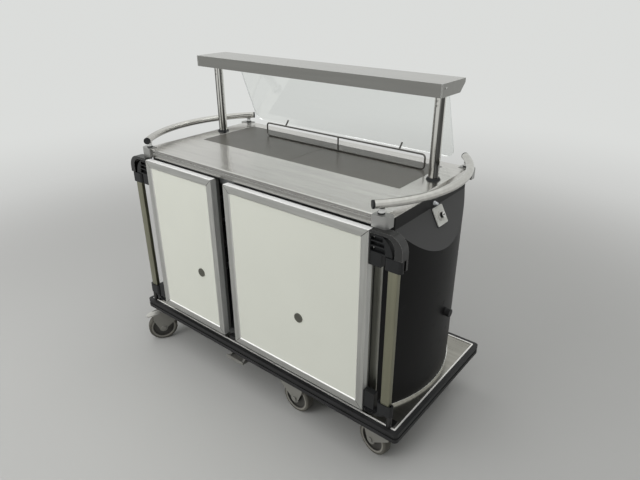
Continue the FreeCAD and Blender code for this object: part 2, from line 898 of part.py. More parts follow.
panel_outer = panel_solid(formula(0), s.base_plane, s.panel_top, s.panel_half_depth)
panel_inner = panel_solid(s.panel_sheet, s.base_plane - BEYOND, s.panel_top + BEYOND,
                          s.panel_half_depth + BEYOND)
panel_right = cut(panel_outer, panel_inner)
node("end_panel_right", panel_right)
node("end_panel_left", mirror(panel_right))

# Trim strips along the foot of the end panels
trim_inner = s.panel_radius + s.trim_gap
trim_ring = cut(
    rod(trim_inner + s.trim_thick, s.trim_height, s.panel_centre, 0, s.base_plane),
    rod(trim_inner, s.trim_height + PAST * 2, s.panel_centre, 0, s.base_plane - PAST),
)
trim_y = (-s.panel_half_depth, s.panel_half_depth)
trim_z = (s.base_plane, s.base_plane + s.trim_height)
trim_right = common(trim_ring, box((s.cabinet_half, s.panel_apex + BEYOND), trim_y, trim_z))
node("panel_trims", group(trim_right, mirror(trim_right)))

# Corner profiles: angles that cover the upright edges of the end panels
profile_inner = s.panel_edge_inner - s.profile_gap
profile = slab("XY", [
    (s.cabinet_half, s.cabinet_front),
    (s.panel_edge, s.cabinet_front),
    (s.panel_edge, -s.panel_half_depth),
    (profile_inner, -s.panel_half_depth),
    (profile_inner, s.cabinet_front + s.profile_reach),
    (s.cabinet_half, s.cabinet_front + s.profile_reach),
], s.base_plane, s.cabinet_top - s.base_plane)
profile_back = mirror(profile, V(0, 1, 0))
node("corner_profiles", group(profile, profile_back, mirror(profile), mirror(profile_back)))

# Counter: a folded top with sloped ends, a hem over a fascia band and a pocket for the hotplates
flange_z = s.counter_top - s.counter_flange
counter_length = slab("XZ", [
    (-s.counter_core_half, s.cabinet_top),
    (s.counter_core_half, s.cabinet_top),
    (s.counter_core_half, s.panel_top),
    (s.counter_half, s.panel_top),
    (s.counter_half, flange_z),
    (s.counter_flat_half, s.counter_top),
    (-s.counter_flat_half, s.counter_top),
    (-s.counter_half, flange_z),
    (-s.counter_half, s.panel_top),
    (-s.counter_core_half, s.panel_top),
], -s.counter_half_depth, s.counter_half_depth * 2)
fascia_z = s.counter_top - s.fascia_height
hem_z = s.counter_top - s.hem_height
band_top = hem_z - s.hem_gap
TOP_EDGE = 2
step_y = s.counter_half_depth - s.fascia_step
back_edge = [
    (step_y, s.cabinet_top),
    (step_y, fascia_z),
    (s.counter_half_depth, fascia_z + TOP_EDGE),
    (s.counter_half_depth, band_top),
    (step_y, band_top),
    (step_y, hem_z),
    (s.counter_half_depth, hem_z),
    (s.counter_half_depth, s.counter_top - TOP_EDGE),
    (s.counter_half_depth - TOP_EDGE, s.counter_top),
]
front_edge = [(-y, z) for y, z in reversed(back_edge)]
counter_depth = slab("YZ", back_edge + front_edge, -s.counter_half, s.counter_half * 2)
plate_z = s.counter_top - s.hotplate_thick
heater_z = plate_z - s.heater_thick
pocket = box((-s.hotplate_half, s.hotplate_half), (s.hotplate_front, s.hotplate_back),
             (heater_z, s.counter_top + PAST))
block_front = -s.counter_half_depth - s.block_overhang
block_back = -s.panel_half_depth
notches = []
for side_x in (1, -1):
    for side_y in (1, -1):
        near_x = (s.block_inner, s.block_outer) if side_x > 0 else (-s.block_outer, -s.block_inner)
        near_y = (block_front, block_back) if side_y > 0 else (-block_back, -block_front)
        notches.append(box(near_x, near_y, (s.cabinet_top - PAST, s.counter_top + PAST)))
hollow = box((s.counter_sheet - s.counter_core_half, s.counter_core_half - s.counter_sheet),
             (s.counter_sheet - step_y, step_y - s.counter_sheet),
             (s.cabinet_top - PAST, s.counter_top - s.counter_sheet))
pan = box((-s.hotplate_half - s.counter_sheet, s.hotplate_half + s.counter_sheet),
          (s.hotplate_front - s.counter_sheet, s.hotplate_back + s.counter_sheet),
          (heater_z - s.counter_sheet, s.counter_top - s.counter_sheet / 2))
folded_top = cut(common(counter_length, counter_depth), hollow, *notches)
node("counter_top", cut(fuse(folded_top, pan), pocket))

# Hotplates and the heater mats under them
plate_y = (s.hotplate_front + s.hotplate_joint, s.hotplate_back - s.hotplate_joint)
plate_x = (s.hotplate_joint, s.hotplate_half - s.hotplate_joint)
hotplate = box(plate_x, plate_y, (plate_z, s.counter_top))
node("hotplates", group(hotplate, mirror(hotplate)))
heater_x = (plate_x[0] + s.heater_margin, plate_x[1] - s.heater_margin)
heater_y = (plate_y[0] + s.heater_margin, plate_y[1] - s.heater_margin)
heater = box(heater_x, heater_y, (heater_z, plate_z))
node("heater_mats", group(heater, mirror(heater)))

# Corner blocks with the stand-offs that carry the hand rails
block_top = s.counter_top + s.block_rise
standoff_top = s.rail_z - s.rail_tube
standoff_height = standoff_top - block_top
collar_height = standoff_height / 4
collar_radius = s.standoff_radius + s.standoff_collar
block = slab("XY", [
    (s.block_inner, block_front),
    (s.block_outer - s.block_round, block_front, s.block_round),
    (s.block_outer, block_front + s.block_round),
    (s.block_outer, block_back),
    (s.block_inner, block_back),
], s.cabinet_top, block_top - s.cabinet_top)


def taper(low_radius, high_radius, height):
    thing = doc.addObject("Part::Cone", "taper")
    bind(thing, "Radius1", low_radius)
    bind(thing, "Radius2", high_radius)
    bind(thing, "Height", height)
    return thing


bobbin = taper(s.standoff_radius + s.standoff_flare, s.standoff_radius, standoff_height - collar_height)
corner_block = fuse(
    block,
    move(bobbin, s.standoff_x, -s.standoff_y, block_top),
    rod(s.standoff_radius, standoff_height, s.standoff_x, -s.standoff_y, block_top),
    rod(collar_radius, collar_height, s.standoff_x, -s.standoff_y, standoff_top - collar_height),
)
rear_block = mirror(corner_block, V(0, 1, 0))
node("corner_blocks", group(corner_block, rear_block, mirror(corner_block), mirror(rear_block)))

# Hand rails: bent tubes around both ends, with a plug in each open end
rail_reach = (s.standoff_y / (s.standoff_x - s.panel_centre)).arctangent() + s.rail_overrun


def rail_piece(tube_radius, sweep, start):
    return ring_part(s.rail_radius, tube_radius, sweep, start, s.panel_centre, 0, s.rail_z)


rail = rail_piece(s.rail_tube, rail_reach * 2, -rail_reach)
node("hand_rails", group(rail, mirror(rail)))
cap_starts = (-rail_reach - s.rail_cap_angle, rail_reach)
rail_caps = [rail_piece(s.rail_tube, s.rail_cap_angle, start) for start in cap_starts]
node("rail_end_caps", group(*rail_caps, *[mirror(cap) for cap in rail_caps]))

# Wire guard: runs and bends of one wire loop, a middle stay and two leaning pegs, standing on the hotplates
wire_y = s.hotplate_back - s.wire_setback
wire_left = s.wire_middle - s.wire_length / 2
wire_right = s.wire_middle + s.wire_length / 2
wire_low = s.counter_top + s.wire_radius
wire_high = wire_low + s.wire_rise


def wire_rod(length, x, z, axis):
    return rod(s.wire_radius, length, x, wire_y, z, axis)


def wire_corner(x, z, quarter):
    """A quarter bend of the wire in the upright plane."""
    bend = doc.addObject("Part::Torus", "bend")
    bind(bend, "Radius1", s.wire_bend)
    bind(bend, "Radius2", s.wire_radius)
    bend.Angle3 = 90
    flat_turn = FreeCAD.Rotation(V(0, 0, 1), quarter * 90)
    bend.Placement = FreeCAD.Placement(V(), FreeCAD.Rotation(V(1, 0, 0), 90) * flat_turn)
    return move(bend, x, wire_y, z)


bend_left = wire_left + s.wire_bend
bend_right = wire_right - s.wire_bend
bend_low = wire_low + s.wire_bend
bend_high = wire_high - s.wire_bend
wire_pieces = [
    wire_rod(bend_right - bend_left, bend_left, wire_low, "X"),
    wire_rod(bend_right - bend_left, bend_left, wire_high, "X"),
    wire_rod(bend_high - bend_low, wire_left, bend_low, "Z"),
    wire_rod(bend_high - bend_low, wire_right, bend_low, "Z"),
    wire_rod(s.wire_rise - s.wire_radius * 2, s.wire_middle, wire_low + s.wire_radius, "Z"),
    wire_corner(bend_right, bend_high, 0),
    wire_corner(bend_left, bend_high, 1),
    wire_corner(bend_left, bend_low, 2),
    wire_corner(bend_right, bend_low, 3),
]
for peg_x in (s.wire_middle - s.peg_offset, s.wire_middle + s.peg_offset):
    peg = rod(s.wire_radius, s.peg_length, 0, 0, s.wire_radius)
    leaning = turn(group(peg), V(-1, 0, 0), s.peg_lean)
    wire_pieces.append(move(leaning, peg_x, wire_y, wire_high))
node("wire_guard", group(*wire_pieces))

# Posts with flange rings
reflector_low = s.canopy_top - s.reflector_drop
post_height = reflector_low - s.counter_top
post_tube = cut(
    rod(s.post_radius, post_height, s.post_x, s.post_y, s.counter_top),
    rod(s.post_radius - s.post_wall, post_height, s.post_x, s.post_y, s.counter_top),
)
SCREW_STEPS = (3, 5)
screw_length = s.post_screw_head + s.post_screw_depth
screw_y = s.post_y - s.post_radius - s.post_screw_head
post_screws = []
for step in SCREW_STEPS:
    screw_z = s.canopy_low - s.post_screw * 2 * step
    post_screws.append(rod(s.post_screw, screw_length, s.post_x, screw_y, screw_z, "Y"))
post = fuse(post_tube, *post_screws)
node("posts", group(post, mirror(post)))
flange_radius = s.post_radius + s.flange_width
flange_cone = taper(flange_radius, flange_radius - s.flange_flare, s.flange_height)
move(flange_cone, s.post_x, s.post_y, s.counter_top)
flange_bore = rod(s.post_radius + s.flange_clearance, s.flange_height, s.post_x, s.post_y, s.counter_top)
flange = cut(flange_cone, flange_bore)
node("post_flanges", group(flange, mirror(flange)))

# Canopy: a folded hood that is open below, closed by a cap at each end
lip_z = s.canopy_top - s.canopy_lip
canopy_heel = s.canopy_back - s.canopy_heel
heel_run = s.canopy_heel
heel_rise = lip_z - s.canopy_low
heel_length = (heel_run * heel_run + heel_rise * heel_rise).root()
heel_inner = canopy_heel - s.canopy_sheet * heel_length / heel_rise
shell_back = s.canopy_back - s.canopy_sheet
hood_outline = [
    (s.canopy_front, s.canopy_low),
    (canopy_heel, s.canopy_low),
    (s.canopy_back, lip_z),
    (s.canopy_back, s.canopy_top),
    (s.canopy_front, s.canopy_top),
]
hood_room = [
    (s.canopy_front + s.canopy_sheet, s.canopy_low - PAST),
    (heel_inner - heel_run / heel_rise * PAST, s.canopy_low - PAST),
    (shell_back, s.canopy_low + (shell_back - heel_inner) * heel_rise / heel_run),
    (shell_back, s.canopy_top - s.canopy_sheet),
    (s.canopy_front + s.canopy_sheet, s.canopy_top - s.canopy_sheet),
]
hood_half = s.canopy_half - s.canopy_cap
hood = slab("YZ", hood_outline, -hood_half, hood_half * 2)
node("canopy_shell", cut(hood, slab("YZ", hood_room, -hood_half - PAST, hood_half * 2 + PAST * 2)))
cap_screw_y = s.canopy_front + s.cap_screw_setback
cap_screw_z = s.canopy_top - s.cap_screw_drop
cap_screw = rod(s.cap_screw, s.cap_screw / 2, s.canopy_half, cap_screw_y, cap_screw_z, "X")
hood_cap = fuse(slab("YZ", hood_outline, hood_half, s.canopy_cap), cap_screw)
node("canopy_end_caps", group(hood_cap, mirror(hood_cap)))
node("reflector", box((-hood_half, hood_half), (s.canopy_front + s.canopy_sheet, shell_back),
                      (reflector_low, reflector_low + s.canopy_sheet)))
lamp_z = reflector_low - s.lamp_drop
lamp_y = (s.canopy_front + s.canopy_back) / 2 - s.lamp_holder_half
lamp_end = s.lamp_start + s.lamp_length
holder_span_y = (lamp_y - s.lamp_holder_half, lamp_y + s.lamp_holder_half)
holder_span_z = (lamp_z - s.lamp_holder_half, reflector_low)
lamp = fuse(
    rod(s.lamp_radius, s.lamp_length, s.lamp_start, lamp_y, lamp_z, "X"),
    box((s.lamp_start, s.lamp_start + s.lamp_holder), holder_span_y, holder_span_z),
    box((lamp_end - s.lamp_holder, lamp_end), holder_span_y, holder_span_z),
)
node("heat_lamps", group(lamp, mirror(lamp)))

# Guard sheet: a clear sheet that leans out behind the canopy, held by three brackets
guard_slope = s.guard_run / s.guard_drop
guard_length = (s.guard_run * s.guard_run + s.guard_drop * s.guard_drop).root()
guard_half = s.canopy_half - s.guard_margin
guard_y = s.canopy_back + s.guard_gap
guard_z = s.canopy_top - s.guard_lower
guard = slab("XZ", [
    (-guard_half, 0),
    (-guard_half, s.guard_round - guard_length, s.guard_round),
    (s.guard_round - guard_half, -guard_length),
    (guard_half - s.guard_round, -guard_length, s.guard_round),
    (guard_half, s.guard_round - guard_length),
    (guard_half, 0),
], 0, s.guard_thick)
guard_sheet = turn(group(guard), V(1, 0, 0), guard_slope.arctangent())
node("guard_sheet", move(guard_sheet, 0, guard_y, guard_z))
heel_y = s.canopy_back - s.bracket_heel
heel_z = lip_z - s.bracket_heel * heel_rise / heel_run
wedge_outline = [
    (s.canopy_back, lip_z),
    (heel_y, heel_z),
    (guard_y + (guard_z - heel_z) * guard_slope, heel_z),
    (guard_y, guard_z),
    (guard_y, s.canopy_top - s.bracket_lower),
    (s.canopy_back, s.canopy_top - s.bracket_lower),
]
wedges = []
for step in (-1, 0, 1):
    wedges.append(slab("YZ", wedge_outline, s.bracket_pitch * step - s.bracket_width / 2, s.bracket_width))
node("guard_brackets", group(*wedges))


# Doors: a mitred frame with a bevelled bead around an infill, an inner pan, a gasket and a strike disc
def bevel(x, y, z, size):
    """A window that narrows on all sides from its front to its back."""
    thing = doc.addObject("Part::Wedge", "bevel")
    for axis, (low, high) in (("X", x), ("Z", z)):
        bind(thing, axis + "min", low - size)
        bind(thing, axis + "max", high + size)
        bind(thing, axis + "2min", low)
        bind(thing, axis + "2max", high)
    bind(thing, "Ymin", y)
    bind(thing, "Ymax", y + size)
    return thing


def make_door(side, left, right):
    """One door between its two upright edges."""
    low, high = s.door_low, s.door_high
    inner_x = (left + s.door_rail, right - s.door_rail)
    inner_z = (low + s.door_rail, high - s.door_rail)
    rails = []
    for edge, inner in ((low, inner_z[0]), (high, inner_z[1])):
        rails.append([(left, edge), (right, edge), (inner_x[1], inner), (inner_x[0], inner)])
    for edge, inner in ((left, inner_x[0]), (right, inner_x[1])):
        rails.append([(edge, low), (edge, high), (inner, inner_z[1]), (inner, inner_z[0])])
    bars = group(*[slab("XZ", outline, s.door_front, s.frame_thick) for outline in rails])
    node(side + "_door_frame", cut(bars, bevel(inner_x, s.door_front, inner_z, s.door_bead)))
    frame_back = s.door_front + s.frame_thick
    infill = box(inner_x, (s.door_front + s.infill_recess, frame_back), inner_z)
    pan_x = (left + s.gasket_inset, right - s.gasket_inset)
    pan_z = (low + s.gasket_inset, high - s.gasket_inset)
    node(side + "_door_infill", group(infill, box(pan_x, (frame_back, s.door_back), pan_z)))
    seals = []
    for inset in (s.gasket_inset, s.gasket_inset + s.gasket_width):
        seals.append(box((left + inset, right - inset), (s.door_back, s.cabinet_front - s.gasket_gap),
                         (low + inset, high - inset)))
    node(side + "_door_gasket", cut(*seals))


make_door("right", s.partition_right + s.door_meeting, s.door_outer)
make_door("left", -s.door_outer, s.partition_left - s.door_meeting)
strike_y = s.door_front + s.infill_recess - s.strike_thick
strike = rod(s.strike_radius, s.strike_thick, s.strike_x, strike_y, s.strike_z, "Y")
node("right_door_strike", strike)
node("left_door_strike", mirror(strike))


# Hinge housings: blocks on the door edge with ribbed pockets, two screws and the door pivot pin
POCKETS = ((0.06, 0.34, 5), (0.40, 0.62, 2), (0.68, 0.90, -4))
SCREWS = (0.20, 0.79)
housing_front = s.door_front + s.housing_setback


def housing(high, shelf, foot):
    """One block: high is its far end, shelf faces the link cap and foot reaches past the cap."""
    sign = 1 if high.number > shelf.number else -1
    corner_x = s.door_pivot_x + s.housing_boss
    near_x = s.door_outer + s.housing_reach
    span = high - shelf
    outline = [
        (s.door_outer, foot),
        (near_x, foot),
        (near_x, shelf),
        (corner_x, shelf),
        (corner_x, shelf + s.housing_knee * sign, (corner_x - near_x) * 2 * sign),
        (near_x, high),
        (s.door_outer, high),
    ]
    shell = slab("XZ", outline, housing_front, s.pivot_y + s.housing_boss - housing_front)
    pocket_left = s.door_outer + s.housing_wall
    pocket_right = near_x + s.housing_wall * 2
    pocket_y = (housing_front, housing_front + s.housing_recess)
    pockets = []
    for start, finish, reach in POCKETS:
        ends = sorted((shelf + span * start, shelf + span * finish), key=lambda end: end.number)
        pockets.append(box((pocket_left, pocket_right + reach), pocket_y, ends))
    screws = []
    for share in SCREWS:
        screw_x = s.door_outer + s.housing_screw_inset
        head_y = pocket_y[1] - s.housing_screw
        screws.append(rod(s.housing_screw, s.housing_screw, screw_x, head_y, shelf + span * share, "Y"))
    pin_z = shelf - s.pin_length if sign > 0 else shelf
    pin = rod(s.pin_radius, s.pin_length, s.door_pivot_x, s.pivot_y, pin_z)
    return fuse(cut(shell, *pockets), *screws, pin)


housings = [
    housing(s.door_high - s.housing_gap, s.upper_cap_high + s.link_gap, s.upper_cap_low),
    housing(s.door_low, s.lower_cap_low - s.link_gap, s.lower_cap_high + s.housing_foot),
]
node("right_hinge_housings", group(*housings))
node("left_hinge_housings", group(*[mirror(block) for block in housings]))


# Hinge links: a bar with a cap at both ends, each cap bored for the two pivot pins
def link_cap(low, high):
    cap_y = (s.pivot_y - s.cap_radius, s.pivot_y + s.cap_radius)
    body = fuse(
        box((s.door_pivot_x, s.fixed_pivot_x), cap_y, (low, high)),
        rod(s.cap_radius, high - low, s.door_pivot_x, s.pivot_y, low),
        rod(s.cap_radius, high - low, s.fixed_pivot_x, s.pivot_y, low),
    )
    hole = s.pin_radius + s.pin_clearance
    bores = []
    for pivot_x in (s.door_pivot_x, s.fixed_pivot_x):
        bores.append(rod(hole, high - low + PAST * 2, pivot_x, s.pivot_y, low - PAST))
    return cut(body, *bores)


caps = [link_cap(s.upper_cap_low, s.upper_cap_high), link_cap(s.lower_cap_low, s.lower_cap_high)]
node("right_link_caps", group(*caps))
node("left_link_caps", group(*[mirror(cap) for cap in caps]))
bar_x = (s.door_pivot_x + s.fixed_pivot_x) / 2
bar_left = bar_x - s.bar_width / 2
bar_right = bar_x + s.bar_width / 2
bar_front = s.pivot_y - s.bar_depth / 2
bar_back = s.pivot_y + s.bar_depth / 2
bar = slab("XY", [
    (bar_left + s.bar_round, bar_front),
    (bar_right - s.bar_round, bar_front, s.bar_round),
    (bar_right, bar_front + s.bar_round),
    (bar_right, bar_back),
    (bar_left, bar_back),
    (bar_left, bar_front + s.bar_round, s.bar_round),
], s.lower_cap_high, s.upper_cap_low - s.lower_cap_high)
node("right_link_bar", bar)
node("left_link_bar", mirror(bar))

# Fixed hinge brackets: an arched arm with a leg under each corner block and a foot on the base tray
arm_start = s.block_inner + s.arm_inset
arm_low = s.cabinet_top - s.arm_thick
boss_low = s.upper_cap_high + s.link_gap
boss_outer = s.fixed_pivot_x + s.boss_radius
boss_inner = s.fixed_pivot_x - s.boss_radius
arch_inner = s.arch_round - s.arm_thick - s.link_gap * 2
arch_high = s.cabinet_top - s.arch_round
arch = slab("XZ", [
    (arm_start, arm_low),
    (boss_inner - arch_inner, arm_low, -arch_inner),
    (boss_inner, arm_low - arch_inner),
    (boss_inner, boss_low),
    (boss_outer, boss_low),
    (boss_outer, arch_high, s.arch_round),
    (boss_outer - s.arch_round, s.cabinet_top),
    (arm_start, s.cabinet_top),
], s.pivot_y - s.boss_radius, s.boss_radius * 2 + s.arch_heel)
leg = slab("XZ", [
    (boss_outer - s.leg_width, s.upper_cap_low + s.leg_thick),
    (boss_outer - s.leg_width / 2, s.upper_cap_low),
    (boss_outer, s.upper_cap_low + s.leg_thick / 2),
    (boss_outer, arch_high),
    (boss_outer - s.leg_width, arch_high),
], s.pivot_y + s.boss_radius, s.leg_thick)
upper_pin = rod(s.pin_radius, s.pin_length, s.fixed_pivot_x, s.pivot_y, boss_low - s.pin_length)
upper_bracket = fuse(arch, leg, upper_pin)
boss_high = s.lower_cap_low - s.link_gap
foot_top = s.base_plane + s.foot_thick
behind_rim = s.rim_width + s.rim_gap - s.base_half_y
foot_y = (behind_rim, s.pivot_y + s.foot_depth)
boss_start = s.base_rim_top + s.link_gap
lower_bracket = fuse(
    box((boss_inner - s.foot_margin, boss_outer + s.foot_margin), foot_y, (s.base_plane, foot_top)),
    rod(s.cap_radius - s.link_gap, boss_high - boss_start, s.fixed_pivot_x, s.pivot_y, boss_start),
    rod(s.pin_radius, s.pin_length, s.fixed_pivot_x, s.pivot_y, boss_high),
)
node("hinge_brackets", group(upper_bracket, lower_bracket, mirror(upper_bracket), mirror(lower_bracket)))


# Key switch and pilot lamp on the facet of the right end panel
def on_facet(shape, x, y):
    """Put a shape built on the XY plane onto the sloped facet."""
    z = s.facet_low_z + facet_slope * (s.panel_apex - x)
    return move(turn(group(shape), V(0, 1, 0), facet_tilt), x, y, z)


switch_x = s.facet_top_x + s.switch_drop
side_half = s.switch_side / 2
seal_half = side_half + s.switch_seal_rim
plate_top = s.switch_seal + s.switch_thick
seal = slab("XY", rounded(seal_half, seal_half, s.switch_round + s.switch_seal_rim), 0, s.switch_seal)
face = slab("XY", rounded(side_half, side_half, s.switch_round), s.switch_seal, s.switch_thick)
collar = rod(s.key_radius + s.collar_width, s.collar_height, 0, 0, plate_top)
node("switch_plate", on_facet(group(seal, fuse(face, collar)), switch_x, s.switch_y))
key_low = plate_top + s.collar_height + s.key_gap
key_high = key_low + s.key_height
barrel = rod(s.key_radius, s.key_height, 0, 0, key_low)
keyway_x = (-s.keyway_width / 2, s.keyway_width / 2)
keyway_y = (-s.keyway_length / 2, s.keyway_length / 2)
keyway = box(keyway_x, keyway_y, (key_high - s.keyway_depth, key_high + PAST))
node("switch_key", on_facet(cut(barrel, keyway), switch_x, s.switch_y))
pilot = taper(s.pilot_radius, s.pilot_radius / 2, s.pilot_height)
pilot.Placement = FreeCAD.Placement(V(), AXIS_TURN["X"])
node("pilot_lamp", move(pilot, s.facet_top_x, s.pilot_y, s.facet_top_z + s.pilot_rise))

# Stops: a holder on each end panel for the folded door and a block in the gap between the doors
holder_start = s.panel_apex - s.holder_radius
folded_strike = s.panel_apex + s.fold_gap + s.infill_recess - s.strike_thick
holder_length = folded_strike - s.holder_clearance - holder_start
holder_y = s.pivot_y + s.door_pivot_x - s.strike_x
holder_seat = rod(s.panel_radius + s.holder_gap, s.holder_radius * 4, s.panel_centre, 0,
                  s.strike_z - s.holder_radius * 2)
holder = cut(rod(s.holder_radius, holder_length, holder_start, holder_y, s.strike_z, "X"), holder_seat)
stop_x = (s.partition_middle - s.stop_width / 2, s.partition_middle + s.stop_width / 2)
stop_y = (behind_rim, s.door_back - s.stop_gap)
stop = box(stop_x, stop_y, (s.base_plane, s.base_plane + s.stop_height))
node("door_stops", group(holder, mirror(holder), stop))

# Check every piece, then write one file for each
doc.recompute()
for thing in doc.Objects:
    if "Invalid" in thing.State or "Error" in thing.State:
        raise RuntimeError("%s did not build: %s" % (thing.Label, thing.State))
os.makedirs("parts", exist_ok=True)
for label, thing in NODES:
    shape = thing.Shape
    if shape.isNull() or not shape.isValid() or not shape.Solids:
        raise RuntimeError("%s has no sound solid" % label)
    shape.exportStep("parts/%s.step" % label)
print("wrote %d nodes" % len(NODES))
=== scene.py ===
import json
import math

import bpy
from mathutils import Matrix, Vector

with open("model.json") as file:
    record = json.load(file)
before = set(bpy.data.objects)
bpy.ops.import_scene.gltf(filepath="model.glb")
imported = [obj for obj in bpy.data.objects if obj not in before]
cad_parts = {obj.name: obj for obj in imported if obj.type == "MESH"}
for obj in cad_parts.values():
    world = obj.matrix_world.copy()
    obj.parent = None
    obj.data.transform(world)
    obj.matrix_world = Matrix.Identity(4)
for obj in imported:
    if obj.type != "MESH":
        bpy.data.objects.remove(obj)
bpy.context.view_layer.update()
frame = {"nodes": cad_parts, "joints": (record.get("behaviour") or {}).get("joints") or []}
nodes = frame["nodes"]
joints = {joint["name"]: joint for joint in frame["joints"]}

# Directions: the doors look to the front and the end panels to the left and right
RIGHT = (1.0, 0.0, 0.0)
LEFT = (-1.0, 0.0, 0.0)
BACK = (0.0, 1.0, 0.0)
UP = (0.0, 0.0, 1.0)
DOWN = (0.0, 0.0, -1.0)

# A hair's breadth, in metres, that keeps a face off the line between two finishes
MARGIN = 0.0002

# Sizes, in metres, that part one finish from another on the same piece
HUB_RADIUS = 0.049
PALE_RIM = 0.003
RIM_DEPTH = 0.0015
MITRE_WIDTH = 0.0010
BLOCK_RISE = 0.002
RING_FOOT = 0.0003
RING_TOP = 0.005
SEAL_HEIGHT = 0.0021
KEY_TOP = 0.0183
SCREW_RADIUS = 0.0026
SCREW_INSET = 0.0075
SCREWS_FROM_BELOW = (0.0040, 0.0152)
SCREWS_FROM_ABOVE = (0.0440, 0.0116)

# Radii, in metres, of edges that are folded, drawn or moulded round
SHEET_EDGE = 0.0012
SHEET_FOLD = 0.0022
DRAWN_EDGE = 0.0010
MOULDED_EDGE = 0.0008
FRAME_ROUND = 0.003

# How closely the grain of a metal, and the painted reflection streaks of the posts, are packed along each
# axis
ALONG_BRUSH = (0.06, 1.0, 1.0)
UPRIGHT_BRUSH = (1.0, 1.0, 0.05)
UPRIGHT_REFLECTION_STREAKS = (1.0, 1.0, 0.01)
EVEN_BRUSH = (1.0, 1.0, 1.0)

# Tones of wear, dust, painted highlights and painted shade, and of small parts, as shares of red, green and
# blue
WORN_STEEL_AND_HIGHLIGHT = (0.90, 0.90, 0.89)
PAINTED_FOLD_SHADE = (0.15, 0.15, 0.14)
WORN_ALUMINIUM = (0.82, 0.82, 0.80)
WORN_FRAME = (0.86, 0.86, 0.84)
PAINTED_FRAME_HIGHLIGHT = (0.97, 0.97, 0.96)
MITRE_LINE = (0.06, 0.06, 0.055)
DUST_AND_SHEEN = (0.30, 0.30, 0.30)
MOULDED_BLACK = (0.010, 0.0105, 0.011)
SCUFFED_BLACK = (0.045, 0.046, 0.048)
SCREW_HEAD = (0.70, 0.70, 0.68)
HOT_COATING = (0.066, 0.062, 0.052)
HOT_COATING_PALE = (0.080, 0.075, 0.064)
RUBBED_COATING = (0.16, 0.15, 0.13)
TYRE = (0.090, 0.086, 0.074)
TYRE_DIRTY = (0.048, 0.046, 0.040)
HUB = (0.055, 0.053, 0.048)
HUB_DIRTY = (0.030, 0.029, 0.026)
PAINTED_RIM_HIGHLIGHT = (0.28, 0.27, 0.24)
CAST_DARK = (0.32, 0.32, 0.31)
CAST_PALE = (0.44, 0.44, 0.43)
WORN_CAST = (0.60, 0.60, 0.58)
DARK_RING = (0.03, 0.03, 0.03)
STAND_OFF = (0.66, 0.66, 0.65)
SWITCH_PLATE = (0.62, 0.62, 0.58)
SWITCH_PLATE_PALE = (0.70, 0.70, 0.66)
SEAL_BLACK = (0.012, 0.012, 0.012)
KEY_FACE = (0.60, 0.60, 0.58)
KEY_FACE_PALE = (0.74, 0.74, 0.72)
PAINTED_KEY_SHADE = (0.03, 0.03, 0.03)
CLEAR_SHEET = (0.94, 0.955, 0.945)
GROUND_END = (0.88, 0.90, 0.89)
QUARTZ = (0.70, 0.60, 0.46)
QUARTZ_PALE = (0.82, 0.74, 0.60)


class Link:
    """A shader socket that can be used in arithmetic."""

    def __init__(self, shading, socket):
        self.shading = shading
        self.socket = socket

    def maths(self, operation, first, second=0.0):
        return self.shading.node("ShaderNodeMath", {"operation": operation}, {0: first, 1: second})

    def __add__(self, other):
        return self.maths("ADD", self, other)

    def __radd__(self, other):
        return self.maths("ADD", other, self)

    def __sub__(self, other):
        return self.maths("SUBTRACT", self, other)

    def __rsub__(self, other):
        return self.maths("SUBTRACT", other, self)

    def __mul__(self, other):
        return self.maths("MULTIPLY", self, other)

    def __rmul__(self, other):
        return self.maths("MULTIPLY", other, self)

    def below(self, limit):
        return self.maths("LESS_THAN", self, limit)

    def above(self, limit):
        return self.maths("GREATER_THAN", self, limit)

    def size(self):
        return self.maths("ABSOLUTE", self)

    def smallest(self, other):
        return self.maths("MINIMUM", self, other)

    def largest(self, other):
        return self.maths("MAXIMUM", self, other)


class Shading:
    """A tree of shader nodes."""

    def __init__(self, owner):
        owner.use_nodes = True
        self.tree = owner.node_tree

    def node(self, kind, settings, sockets, output=0):
        made = self.tree.nodes.new(kind)
        for key, value in settings.items():
            setattr(made, key, value)
        for key, value in sockets.items():
            self.feed(made.inputs[key], value)
        return Link(self, made.outputs[output])

    def feed(self, socket, value):
        if isinstance(value, Link):
            self.tree.links.new(value.socket, socket)
        elif socket.type == "RGBA" and len(value) == 3:
            socket.default_value = (*value, 1.0)
        else:
            socket.default_value = value

    def vector(self, operation, first, second, output="Vector"):
        return self.node("ShaderNodeVectorMath", {"operation": operation}, {0: first, 1: second}, output)

    def length(self, vector):
        return self.node("ShaderNodeVectorMath", {"operation": "LENGTH"}, {0: vector}, "Value")

    def spread(self, value, low, high):
        """Ease a value from 0 at low to 1 at high."""
        settings = {"interpolation_type": "SMOOTHSTEP"}
        return self.node("ShaderNodeMapRange", settings, {0: value, 1: low, 2: high, 3: 0.0, 4: 1.0})

    def blend(self, amount, first, second):
        """A colour between two colours."""
        return self.node("ShaderNodeMix", {"data_type": "RGBA"}, {0: amount, 6: first, 7: second}, 2)


